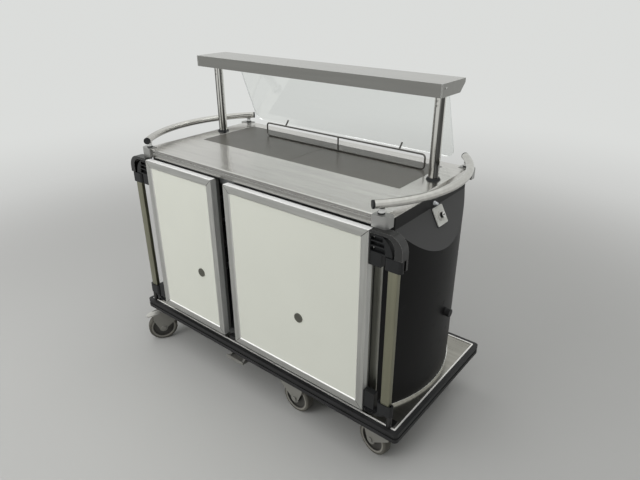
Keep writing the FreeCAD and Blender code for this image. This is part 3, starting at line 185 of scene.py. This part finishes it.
class Finish(Shading):
    """One material, built around a single surface shader."""

    def __init__(self, name):
        self.material = bpy.data.materials.new(name)
        super().__init__(self.material)
        self.shader = self.tree.nodes["Principled BSDF"]
        self.place = self.node("ShaderNodeTexCoord", {}, {}, "Object")

    def above_plane(self, point, normal):
        """How far a point on the piece lies above a plane."""
        return self.vector("DOT_PRODUCT", self.vector("SUBTRACT", self.place, point), normal, "Value")

    def from_axis(self, point, axis):
        """How far a point on the piece lies from an axis."""
        return self.length(self.vector("CROSS_PRODUCT", self.vector("SUBTRACT", self.place, point), axis))

    def stretched(self, scale):
        """Places on the piece, drawn out along the axes with a small scale."""
        return self.node("ShaderNodeMapping", {}, {"Vector": self.place, "Scale": scale}, "Vector")

    def noise(self, scale, detail=4.0, place=None):
        sockets = {"Vector": place or self.place, "Scale": scale, "Detail": detail}
        return self.node("ShaderNodeTexNoise", {}, sockets, "Fac")

    def normal(self):
        return self.node("ShaderNodeNewGeometry", {}, {}, "Normal")

    def rounded(self, radius):
        """The normal of the piece with its sharp edges rounded off."""
        return self.node("ShaderNodeBevel", {"samples": 4}, {"Radius": radius}, "Normal")

    def facing(self, direction):
        """One on faces that look in a direction and zero on faces along it."""
        return self.vector("DOT_PRODUCT", self.normal(), direction, "Value")

    def edges(self, radius):
        """One along the sharp edges of the piece and zero on its flats."""
        return self.spread(1.0 - self.facing(self.rounded(radius)), low=0.02, high=0.25)

    def upward(self):
        """One on faces that look up and zero on upright ones."""
        return self.spread(self.facing(UP), low=0.05, high=0.45)

    def sideways(self):
        """One on faces that look to the left or right and zero on all others."""
        return self.spread(self.facing(RIGHT).size(), low=0.2, high=0.6)

    def bump(self, height, strength, distance, normal=None):
        """The normal of the piece with a fine relief on it."""
        sockets = {"Height": height, "Strength": strength, "Distance": distance}
        if normal:
            sockets["Normal"] = normal
        return self.node("ShaderNodeBump", {}, sockets)

    def surface(self, **sockets):
        """Feed the inputs of the surface shader, which are named in small letters here."""
        for key, value in sockets.items():
            self.feed(self.shader.inputs[key.replace("_", " ").title().replace("Ior", "IOR")], value)
        return self.material


def shaded(tone, amount):
    """A tone made darker or lighter."""
    return tuple(min(part * amount, 1.0) for part in tone)


def extent(piece):
    """The low and high corners of a piece."""
    corners = nodes[piece].bound_box
    low = Vector([min(corner[axis] for corner in corners) for axis in range(3)])
    high = Vector([max(corner[axis] for corner in corners) for axis in range(3)])
    return low, high


# Finishes
def brushed_steel(name, tone, rough, brush, wear=0.5, upright_painted_shade=0.0, edge=SHEET_EDGE):
    """Sheet steel with brush lines along one axis, faint smears, edges paled by wear and a painted
    highlight, and painted shade on upright folds.
    """
    coat = Finish(name)
    lines = coat.noise(scale=60.0, detail=6.0, place=coat.stretched(brush))
    fine = coat.noise(scale=240.0, detail=3.0, place=coat.stretched(brush))
    smear = coat.noise(scale=5.0, detail=5.0)
    shade = coat.spread(lines * 0.8 + smear * 0.2, low=0.3, high=0.7)
    colour = coat.blend(shade, shaded(tone, 0.92), shaded(tone, 1.05))
    # Painted shade: upright faces are darkened towards a dark grey
    colour = coat.blend((1.0 - coat.upward()) * upright_painted_shade, colour, PAINTED_FOLD_SHADE)
    relief = lines * 0.5 + fine * 0.5
    # Edges are paled towards a near white: partly wear, partly a painted highlight
    return coat.surface(
        base_color=coat.blend(coat.edges(edge) * wear, colour, WORN_STEEL_AND_HIGHLIGHT),
        metallic=1.0,
        roughness=rough + lines * 0.08 + smear * 0.05 - 0.06,
        normal=coat.bump(relief, strength=0.08, distance=0.0004, normal=coat.rounded(edge)),
    )


def rimmed_steel(name, deck, rim, rough, brush):
    """Worn sheet steel whose raised rim is pale from rubbing and from a painted highlight."""
    coat = Finish(name)
    rim_top = extent("base_tray")[1]
    raised = coat.above_plane(rim_top, UP).above(-RIM_DEPTH)
    lines = coat.noise(scale=60.0, detail=6.0, place=coat.stretched(brush))
    smear = coat.noise(scale=7.0, detail=6.0)
    shade = coat.spread(lines * 0.4 + smear * 0.6, low=0.35, high=0.65)
    colour = coat.blend(shade, shaded(deck, 0.82), shaded(deck, 1.10))
    # Painted highlight with some rubbing: the raised rim is pale and keeps little metal shine
    return coat.surface(
        base_color=coat.blend(raised, colour, rim),
        metallic=1.0 - raised * 0.7,
        roughness=rough + lines * 0.10 + smear * 0.14 - 0.12,
        normal=coat.bump(lines, strength=0.10, distance=0.0004),
    )


def drawn_tube(name, dark, light, rough):
    """Tube drawn along its length, with painted reflections in dark and bright streaks, and faint smears."""
    coat = Finish(name)
    # Painted reflections: dark and bright streaks along the tube
    painted_reflection_streak = coat.noise(scale=105.0, detail=1.0, place=coat.stretched(UPRIGHT_REFLECTION_STREAKS))
    smear = coat.noise(scale=9.0)
    colour = coat.blend(coat.spread(painted_reflection_streak, low=0.42, high=0.58), dark, light)
    return coat.surface(
        base_color=coat.blend(smear * 0.15, colour, light),
        metallic=1.0,
        roughness=rough + smear * 0.10 - 0.04,
        normal=coat.bump(painted_reflection_streak, strength=0.04, distance=0.0003),
    )


def anodised(name, tone, rough, brush, wear=0.6):
    """Satin anodised aluminium with drawn lines."""
    coat = Finish(name)
    drawn = coat.noise(scale=90.0, place=coat.stretched(brush))
    cloud = coat.noise(scale=4.0)
    shade = coat.spread(drawn * 0.5 + cloud * 0.5, low=0.3, high=0.7)
    colour = coat.blend(shade, shaded(tone, 0.88), shaded(tone, 1.08))
    return coat.surface(
        base_color=coat.blend(coat.edges(DRAWN_EDGE) * wear, colour, WORN_ALUMINIUM),
        metallic=1.0,
        roughness=rough + drawn * 0.10 + cloud * 0.08 - 0.09,
        normal=coat.bump(drawn, strength=0.06, distance=0.0003),
    )


def mitred_frame(piece, tone, rough):
    """Aluminium bars, drawn along their length, with a painted highlight on bright tops and paler sides, and
    fine dark mitre joints.
    """
    coat = Finish(piece)
    low, high = extent(piece)
    across = coat.above_plane(low, RIGHT).smallest(coat.above_plane(high, LEFT))
    along = coat.above_plane(low, UP).smallest(coat.above_plane(high, DOWN))
    mitre = (across - along).size().below(MITRE_WIDTH)
    upright = across.below(along)
    upright_lines = coat.noise(scale=90.0, place=coat.stretched(UPRIGHT_BRUSH))
    level_lines = coat.noise(scale=90.0, place=coat.stretched(ALONG_BRUSH))
    drawn = upright_lines * upright + level_lines * (1.0 - upright)
    # Painted highlight: faces that look up turn bright and side faces paler, with less metal shine there
    bright = coat.upward().largest(coat.sideways() * 0.3)
    colour = coat.blend(coat.spread(drawn, low=0.3, high=0.7), shaded(tone, 0.90), shaded(tone, 1.06))
    colour = coat.blend(coat.edges(DRAWN_EDGE) * 0.7, colour, WORN_FRAME)
    colour = coat.blend(bright, colour, PAINTED_FRAME_HIGHLIGHT)
    return coat.surface(
        base_color=coat.blend(mitre, colour, MITRE_LINE),
        metallic=1.0 - bright * 0.6,
        roughness=rough + drawn * 0.10 - 0.05,
        normal=coat.bump(drawn, strength=0.05, distance=0.0003, normal=coat.rounded(FRAME_ROUND)),
    )


def laminate(name, tone, pan_tone):
    """Pale matt laminate with a faint pebble and soft clouding, in front of a steel inner pan."""
    coat = Finish(name)
    pebble = coat.noise(scale=420.0, detail=3.0)
    cloud = coat.noise(scale=2.2, detail=5.0)
    frame_back = extent("left_door_frame")[1]
    pan = coat.above_plane(frame_back, BACK).above(MARGIN)
    pale = coat.blend(coat.spread(cloud, low=0.35, high=0.65), shaded(tone, 0.97), tone)
    return coat.surface(
        base_color=coat.blend(pan, pale, pan_tone),
        metallic=pan,
        roughness=0.42 + cloud * 0.14 + pebble * 0.06,
        specular_ior_level=0.3,
        normal=coat.bump(pebble, strength=0.12, distance=0.0003),
    )


def satin_paint(name, tone, rough, worn_tone, shine=0.5):
    """Powder coat with an orange peel skin, worn edges, faint dust flecks and a painted sheen on faces that
    look up.
    """
    coat = Finish(name)
    peel = coat.noise(scale=260.0, detail=2.0)
    cloud = coat.noise(scale=3.5, detail=5.0)
    dust = coat.spread(coat.noise(scale=38.0, detail=8.0), low=0.56, high=0.80)
    colour = coat.blend(coat.spread(cloud, low=0.35, high=0.7), tone, shaded(tone, 1.25))
    # Faint dust flecks, and a painted sheen that pales faces that look up
    colour = coat.blend(dust * 0.015 + coat.upward() * 0.20, colour, DUST_AND_SHEEN)
    return coat.surface(
        base_color=coat.blend(coat.edges(DRAWN_EDGE) * 0.5, colour, worn_tone),
        roughness=rough + cloud * 0.10 + dust * 0.10 - 0.05,
        specular_ior_level=shine,
        normal=coat.bump(peel, strength=0.10, distance=0.0004),
    )


def moulded(name, tone, rough, shine=0.5):
    """Moulded plastic with a fine spark-eroded grain and scuffed edges."""
    coat = Finish(name)
    grit = coat.noise(scale=500.0, detail=3.0)
    cloud = coat.noise(scale=12.0)
    colour = coat.blend(cloud, tone, shaded(tone, 1.4))
    return coat.surface(
        base_color=coat.blend(coat.edges(MOULDED_EDGE) * 0.4, colour, shaded(tone, 3.0)),
        roughness=rough + grit * 0.12 + cloud * 0.08 - 0.10,
        specular_ior_level=shine,
        normal=coat.bump(grit, strength=0.15, distance=0.0003),
    )


def housing_finish(name, piece):
    """Black moulded housings with bright screw heads in their pockets, near the door frame."""
    coat = Finish(name)
    grit = coat.noise(scale=500.0, detail=3.0)
    low, high = extent(piece)
    column = low.x + SCREW_INSET if low.x > 0.0 else high.x - SCREW_INSET
    heights = [low.z + rise for rise in SCREWS_FROM_BELOW] + [high.z - drop for drop in SCREWS_FROM_ABOVE]
    heads = 0.0
    for height in heights:
        heads = coat.from_axis((column, 0.0, height), BACK).below(SCREW_RADIUS).largest(heads)
    black = coat.blend(coat.edges(MOULDED_EDGE) * 0.5, MOULDED_BLACK, SCUFFED_BLACK)
    return coat.surface(
        base_color=coat.blend(heads, black, SCREW_HEAD),
        metallic=heads,
        roughness=0.42 + grit * 0.12 - heads * 0.15,
        specular_ior_level=0.3,
        normal=coat.bump(grit, strength=0.15, distance=0.0003),
    )


def rubber(name, tone):
    """Dull rubber with a dusty bloom."""
    coat = Finish(name)
    grit = coat.noise(scale=300.0)
    bloom = coat.spread(coat.noise(scale=18.0, detail=6.0), low=0.40, high=0.75)
    return coat.surface(
        base_color=coat.blend(bloom * 0.5, tone, shaded(tone, 2.2)),
        roughness=0.44 + grit * 0.16 + bloom * 0.16,
        specular_ior_level=0.35,
        normal=coat.bump(grit, strength=0.20, distance=0.0005),
    )


def hot_surface(name):
    """Dark coated hotplate with fine rubbing marks and a soft gloss."""
    coat = Finish(name)
    rubbed = coat.noise(scale=14.0)
    cloud = coat.noise(scale=3.0)
    marks = coat.spread(rubbed, low=0.50, high=0.8)
    colour = coat.blend(coat.spread(cloud, low=0.3, high=0.7), HOT_COATING, HOT_COATING_PALE)
    return coat.surface(
        base_color=coat.blend(marks * 0.06, colour, RUBBED_COATING),
        roughness=0.26 + rubbed * 0.08 + cloud * 0.06,
        normal=coat.bump(rubbed, strength=0.02, distance=0.0003),
    )


def wheel_finish(name, centre, axle):
    """Grey tyre on a dark hub with a painted highlight on the pale rim between them, parted by the distance
    from the axle.
    """
    coat = Finish(name)
    radius = coat.from_axis(centre, axle)
    tread = radius.above(HUB_RADIUS - MARGIN)
    # Painted highlight: a thin pale ring where the tyre meets the hub
    rim = (radius - HUB_RADIUS).size().below(PALE_RIM)
    grit = coat.noise(scale=260.0)
    dirt = coat.spread(coat.noise(scale=30.0, detail=6.0), low=0.42, high=0.72)
    tyre = coat.blend(dirt * 0.7, TYRE, TYRE_DIRTY)
    hub = coat.blend(dirt * 0.6, HUB, HUB_DIRTY)
    colour = coat.blend(tread, hub, tyre)
    return coat.surface(
        base_color=coat.blend(rim * 0.7, colour, PAINTED_RIM_HIGHLIGHT),
        roughness=0.46 + grit * 0.10 + tread * 0.16,
        specular_ior_level=0.25,
        normal=coat.bump(grit, strength=0.15, distance=0.0004),
    )


def block_finish(name):
    """Grey cast blocks below bright stand-offs with a dark ring at their foot."""
    coat = Finish(name)
    counter_face = extent("counter_top")[1]
    height = coat.above_plane(counter_face, UP) - BLOCK_RISE
    grit = coat.noise(scale=300.0, detail=3.0)
    cloud = coat.noise(scale=14.0)
    cast = coat.blend(cloud, CAST_DARK, CAST_PALE)
    cast = coat.blend(coat.edges(SHEET_EDGE) * 0.6, cast, WORN_CAST)
    colour = coat.blend(height.above(RING_FOOT), cast, DARK_RING)
    return coat.surface(
        base_color=coat.blend(height.above(RING_TOP), colour, STAND_OFF),
        metallic=0.9,
        roughness=0.30 + grit * 0.12 + cloud * 0.06,
        normal=coat.bump(grit, strength=0.12, distance=0.0003),
    )


def switch_finish(name, foot, normal):
    """Pale plate over a black seal, parted by the height above the panel."""
    coat = Finish(name)
    height = coat.above_plane(foot, normal)
    grit = coat.noise(scale=320.0, detail=3.0)
    pale = coat.blend(grit, SWITCH_PLATE, SWITCH_PLATE_PALE)
    return coat.surface(
        base_color=coat.blend(height.above(SEAL_HEIGHT), SEAL_BLACK, pale),
        roughness=0.34 + grit * 0.10,
        normal=coat.bump(grit, strength=0.08, distance=0.0003),
    )


def key_finish(name, foot, normal):
    """Key barrel with a bright face, and painted shade round its side and inside its keyway."""
    coat = Finish(name)
    # Painted shade: the side of the barrel and its keyway, below the face, are dark
    painted_shade_mask = coat.above_plane(foot, normal).below(KEY_TOP - MARGIN)
    swirl = coat.noise(scale=200.0, detail=3.0)
    bright = coat.blend(swirl, KEY_FACE, KEY_FACE_PALE)
    return coat.surface(
        base_color=coat.blend(painted_shade_mask, bright, PAINTED_KEY_SHADE),
        metallic=1.0,
        roughness=0.18 + swirl * 0.12,
        normal=coat.bump(swirl, strength=0.05, distance=0.0002),
    )


def clear_sheet(name):
    """Clear toughened sheet with a faint film of finger marks and pale ground ends."""
    coat = Finish(name)
    film = coat.spread(coat.noise(scale=7.0, detail=5.0), low=0.45, high=0.75)
    end = coat.sideways()
    return coat.surface(
        base_color=coat.blend(end, CLEAR_SHEET, GROUND_END),
        metallic=end,
        roughness=0.01 + film * 0.03 + end * 0.5,
        transmission_weight=1.0,
        ior=1.45,
        normal=coat.bump(film, strength=0.02, distance=0.0002),
    )


def lamp_glass(name):
    """Frosted quartz tube with a warm tint."""
    coat = Finish(name)
    frost = coat.noise(scale=160.0)
    return coat.surface(
        base_color=coat.blend(frost, QUARTZ, QUARTZ_PALE),
        roughness=0.25 + frost * 0.15,
        normal=coat.bump(frost, strength=0.10, distance=0.0003),
    )


# Stainless steel
# The counter and canopy carry painted shade on their upright faces and the painted highlight on their edges
# at full strength
counter_steel = brushed_steel(
    "counter_steel", tone=(0.70, 0.685, 0.66), rough=0.22, brush=ALONG_BRUSH,
    wear=1.0, upright_painted_shade=0.6, edge=SHEET_FOLD)
canopy_steel = brushed_steel(
    "canopy_steel", tone=(0.54, 0.53, 0.51), rough=0.20, brush=ALONG_BRUSH,
    wear=1.0, upright_painted_shade=0.7, edge=SHEET_FOLD)
base_steel = rimmed_steel(
    "base_steel", deck=(0.33, 0.32, 0.29), rim=(0.90, 0.89, 0.86), rough=0.30, brush=ALONG_BRUSH)
trim_steel = brushed_steel("trim_steel", tone=(0.78, 0.78, 0.75), rough=0.26, brush=ALONG_BRUSH)
rack_steel = brushed_steel("rack_steel", tone=(0.80, 0.81, 0.81), rough=0.38, brush=UPRIGHT_BRUSH)
rail_steel = brushed_steel("rail_steel", tone=(0.62, 0.61, 0.58), rough=0.22, brush=EVEN_BRUSH)
wire_steel = brushed_steel("wire_steel", tone=(0.16, 0.155, 0.145), rough=0.32, brush=EVEN_BRUSH, wear=0.2)
# The posts carry painted reflections in dark and bright streaks
post_steel = drawn_tube("post_steel", dark=(0.03, 0.03, 0.028), light=(0.70, 0.69, 0.66), rough=0.14)

# Aluminium, zinc and cast metal
profile_aluminium = anodised("profile_aluminium", tone=(0.46, 0.46, 0.415), rough=0.34, brush=UPRIGHT_BRUSH)
bar_aluminium = anodised("bar_aluminium", tone=(0.30, 0.295, 0.220), rough=0.36, brush=UPRIGHT_BRUSH)
bracket_metal = anodised(
    "bracket_metal", tone=(0.075, 0.075, 0.075), rough=0.34, brush=EVEN_BRUSH, wear=0.45)
strike_metal = anodised("strike_metal", tone=(0.17, 0.17, 0.145), rough=0.40, brush=EVEN_BRUSH, wear=0.2)
pedal_metal = anodised("pedal_metal", tone=(0.62, 0.61, 0.58), rough=0.40, brush=EVEN_BRUSH)
zinc = satin_paint("zinc", tone=(0.150, 0.147, 0.132), rough=0.38, worn_tone=(0.34, 0.34, 0.32))
block_metal = block_finish("block_metal")

# Panels, plastic, rubber and glass
pale_infill = laminate("pale_infill", tone=(0.575, 0.585, 0.525), pan_tone=(0.30, 0.30, 0.29))
cabinet_skin = satin_paint(
    "cabinet_skin", tone=(0.10, 0.104, 0.104), rough=0.40, worn_tone=(0.30, 0.30, 0.29))
charcoal = satin_paint(
    "charcoal", tone=(0.0058, 0.0058, 0.0060), rough=0.44, worn_tone=(0.05, 0.05, 0.05), shine=0.17)
hotplate_finish = hot_surface("hotplate_finish")
black_plastic = moulded("black_plastic", tone=MOULDED_BLACK, rough=0.48, shine=0.3)
white_plastic = moulded("white_plastic", tone=(0.66, 0.68, 0.70), rough=0.30)
heater_rubber = rubber("heater_rubber", tone=(0.30, 0.09, 0.05))
black_rubber = rubber("black_rubber", tone=(0.012, 0.012, 0.0125))
guard_clear = clear_sheet("guard_clear")
lamp_finish = lamp_glass("lamp_finish")

# The switch stands square on the sloped facet, along the axis of its key
key_joint = joints["switch_key_turn"]
switch_pale = switch_finish("switch_pale", key_joint["pos_m"], key_joint["axis"])
key_steel = key_finish("key_steel", key_joint["pos_m"], key_joint["axis"])

FINISHES = {
    counter_steel: ["counter_top"],
    canopy_steel: ["canopy_shell", "canopy_end_caps", "reflector", "guard_brackets"],
    base_steel: ["base_tray"],
    trim_steel: ["panel_trims"],
    rack_steel: ["rack_uprights", "tray_runners"],
    rail_steel: ["hand_rails"],
    wire_steel: ["wire_guard"],
    post_steel: ["posts"],
    profile_aluminium: ["corner_profiles"],
    bar_aluminium: ["left_link_bar", "right_link_bar"],
    bracket_metal: ["hinge_brackets"],
    strike_metal: ["left_door_strike", "right_door_strike"],
    pedal_metal: ["front_left_brake_pedal"],
    zinc: ["caster_plates", "chassis_frame", "foot_pedal"],
    block_metal: ["corner_blocks"],
    pale_infill: ["left_door_infill", "right_door_infill"],
    cabinet_skin: ["cabinet_body", "partition"],
    charcoal: ["end_panel_left", "end_panel_right"],
    hotplate_finish: ["hotplates"],
    black_plastic: ["rail_end_caps", "post_flanges", "left_link_caps", "right_link_caps"],
    white_plastic: ["pilot_lamp"],
    heater_rubber: ["heater_mats"],
    black_rubber: ["bumper", "left_door_gasket", "right_door_gasket", "door_stops"],
    guard_clear: ["guard_sheet"],
    lamp_finish: ["heat_lamps"],
    switch_pale: ["switch_plate"],
    key_steel: ["switch_key"],
}


def dress(piece, finish):
    """Give a whole piece one finish."""
    nodes[piece].data.materials.clear()
    nodes[piece].data.materials.append(finish)


for finish, pieces in FINISHES.items():
    for piece in pieces:
        dress(piece, finish)

# Each door has a frame, mitred where its outline turns, and housings with screws near its outer edge
for side in ("left", "right"):
    housings = side + "_hinge_housings"
    door_frame = side + "_door_frame"
    dress(housings, housing_finish(side + "_housing_black", housings))
    dress(door_frame, mitred_frame(door_frame, tone=(0.55, 0.55, 0.53), rough=0.46))

# Wheels take their centre and axle from the joints that they spin on
WHEEL_JOINT = "_wheel_spin"
for name, joint in joints.items():
    if name.endswith(WHEEL_JOINT):
        corner = name.removesuffix(WHEEL_JOINT)
        dress(corner + "_wheel", wheel_finish(corner + "_tread", joint["pos_m"], joint["axis"]))
        dress(corner + "_fork", zinc)

# A pale room: seen directly, in metal and through glass it is brighter than the light that it gives
ROOM_TONE = (0.985, 1.0, 0.98)
ROOM_LIGHT = 0.26
ROOM_SEEN = 0.72
CEILING_SEEN = 1.0
CEILING_RISE = (0.40, 0.75)

# A pale floor: it shows the shadow near the trolley and runs out into the tone of the room
FLOOR_REACH = 40.0
FLOOR_TONE = (0.40, 0.40, 0.39)
FLOOR_ROUGH = 0.75
FLOOR_SEEN = (0.48, 0.48, 0.47)
SHADOW_FADE = (1.2, 3.2)
RUN_OUT = (1.0, 5.0)


def rays_seen(shading):
    """One where the viewer, metal or glass looks at a surface, and zero where it only gives light."""
    seen = 0.0
    for ray in ("Is Camera Ray", "Is Glossy Ray", "Is Transmission Ray"):
        seen = shading.node("ShaderNodeLightPath", {}, {}, ray).largest(seen)
    return seen


def pale_room():
    """Walls all round, with a brighter ceiling."""
    world = bpy.data.worlds.new("studio")
    room = Shading(world)
    direction = room.node("ShaderNodeTexCoord", {}, {}, "Generated")
    rise = room.spread(room.vector("DOT_PRODUCT", direction, UP, "Value"), *CEILING_RISE)
    tone = room.blend(rise, shaded(ROOM_TONE, ROOM_SEEN), shaded(ROOM_TONE, CEILING_SEEN))
    giving = room.node("ShaderNodeBackground", {}, {"Color": ROOM_TONE, "Strength": ROOM_LIGHT})
    showing = room.node("ShaderNodeBackground", {}, {"Color": tone, "Strength": 1.0})
    mixed = room.node("ShaderNodeMixShader", {}, {0: rays_seen(room), 1: giving, 2: showing})
    room.feed(room.tree.nodes["World Output"].inputs["Surface"], mixed)
    return world


def floor_finish(name):
    """Matt floor that takes the shadow close by and fades to an even tone further off."""
    ground = Finish(name)
    ground.surface(base_color=FLOOR_TONE, roughness=FLOOR_ROUGH)
    near = Link(ground, ground.shader.outputs["BSDF"])
    away = ground.length(ground.place)
    tone = ground.blend(ground.spread(away, *RUN_OUT), FLOOR_SEEN, shaded(ROOM_TONE, ROOM_SEEN))
    far = ground.node("ShaderNodeEmission", {}, {"Color": tone, "Strength": 1.0})
    fade = ground.spread(away, *SHADOW_FADE) * rays_seen(ground)
    mixed = ground.node("ShaderNodeMixShader", {}, {0: fade, 1: near, 2: far})
    ground.feed(ground.tree.nodes["Material Output"].inputs["Surface"], mixed)
    return ground.material


def pale_floor(reach):
    """A square floor under the wheels."""
    mesh = bpy.data.meshes.new("floor")
    corners = [(-reach, -reach, 0.0), (reach, -reach, 0.0), (reach, reach, 0.0), (-reach, reach, 0.0)]
    mesh.from_pydata(corners, [], [(0, 1, 2, 3)])
    mesh.materials.append(floor_finish("pale_floor"))
    made = bpy.data.objects.new("floor", mesh)
    bpy.context.collection.objects.link(made)
    return made


def soft_lamp(name, place, aim, size, power):
    """A broad lamp that lights the trolley without being mirrored in it."""
    lamp = bpy.data.lights.new(name, "AREA")
    lamp.shape = "RECTANGLE"
    lamp.size = size[0]
    lamp.size_y = size[1]
    lamp.energy = power
    holder = bpy.data.objects.new(name, lamp)
    holder.location = place
    holder.visible_glossy = False
    holder.rotation_euler = (Vector(aim) - Vector(place)).to_track_quat("-Z", "Y").to_euler()
    bpy.context.collection.objects.link(holder)


bpy.context.scene.world = pale_room()
floor = pale_floor(FLOOR_REACH)
soft_lamp("overhead", place=(-0.2, -1.0, 3.6), aim=(-0.2, -1.0, 0.0), size=(7.0, 5.0), power=148.0)
soft_lamp("front_left", place=(-1.4, -3.8, 1.8), aim=(0.0, 0.0, 0.5), size=(2.6, 2.4), power=98.0)
soft_lamp("behind", place=(0.8, 3.6, 3.0), aim=(0.0, 0.0, 0.9), size=(3.0, 1.6), power=40.0)

# View from above the right front corner: place in metres, turns in degrees, lens in millimetres
CAMERA_PLACE = (1.2401, -1.4085, 1.4690)
CAMERA_YAW = 39.04
CAMERA_PITCH = 64.29
CAMERA_ROLL = -0.15
LENS = 30.14
SENSOR = 36.0
SIGHT = 200.0

camera_data = bpy.data.cameras.new("camera")
camera_data.sensor_width = SENSOR
camera_data.lens = LENS
camera_data.clip_end = SIGHT
camera = bpy.data.objects.new("camera", camera_data)
look = Matrix.Rotation(math.radians(CAMERA_YAW), 4, "Z")
look = look @ Matrix.Rotation(math.radians(CAMERA_PITCH), 4, "X")
look = look @ Matrix.Rotation(math.radians(CAMERA_ROLL), 4, "Z")
camera.rotation_euler = look.to_euler()
camera.location = CAMERA_PLACE
bpy.context.collection.objects.link(camera)
bpy.context.scene.camera = camera
bpy.context.scene.view_settings.view_transform = "Standard"
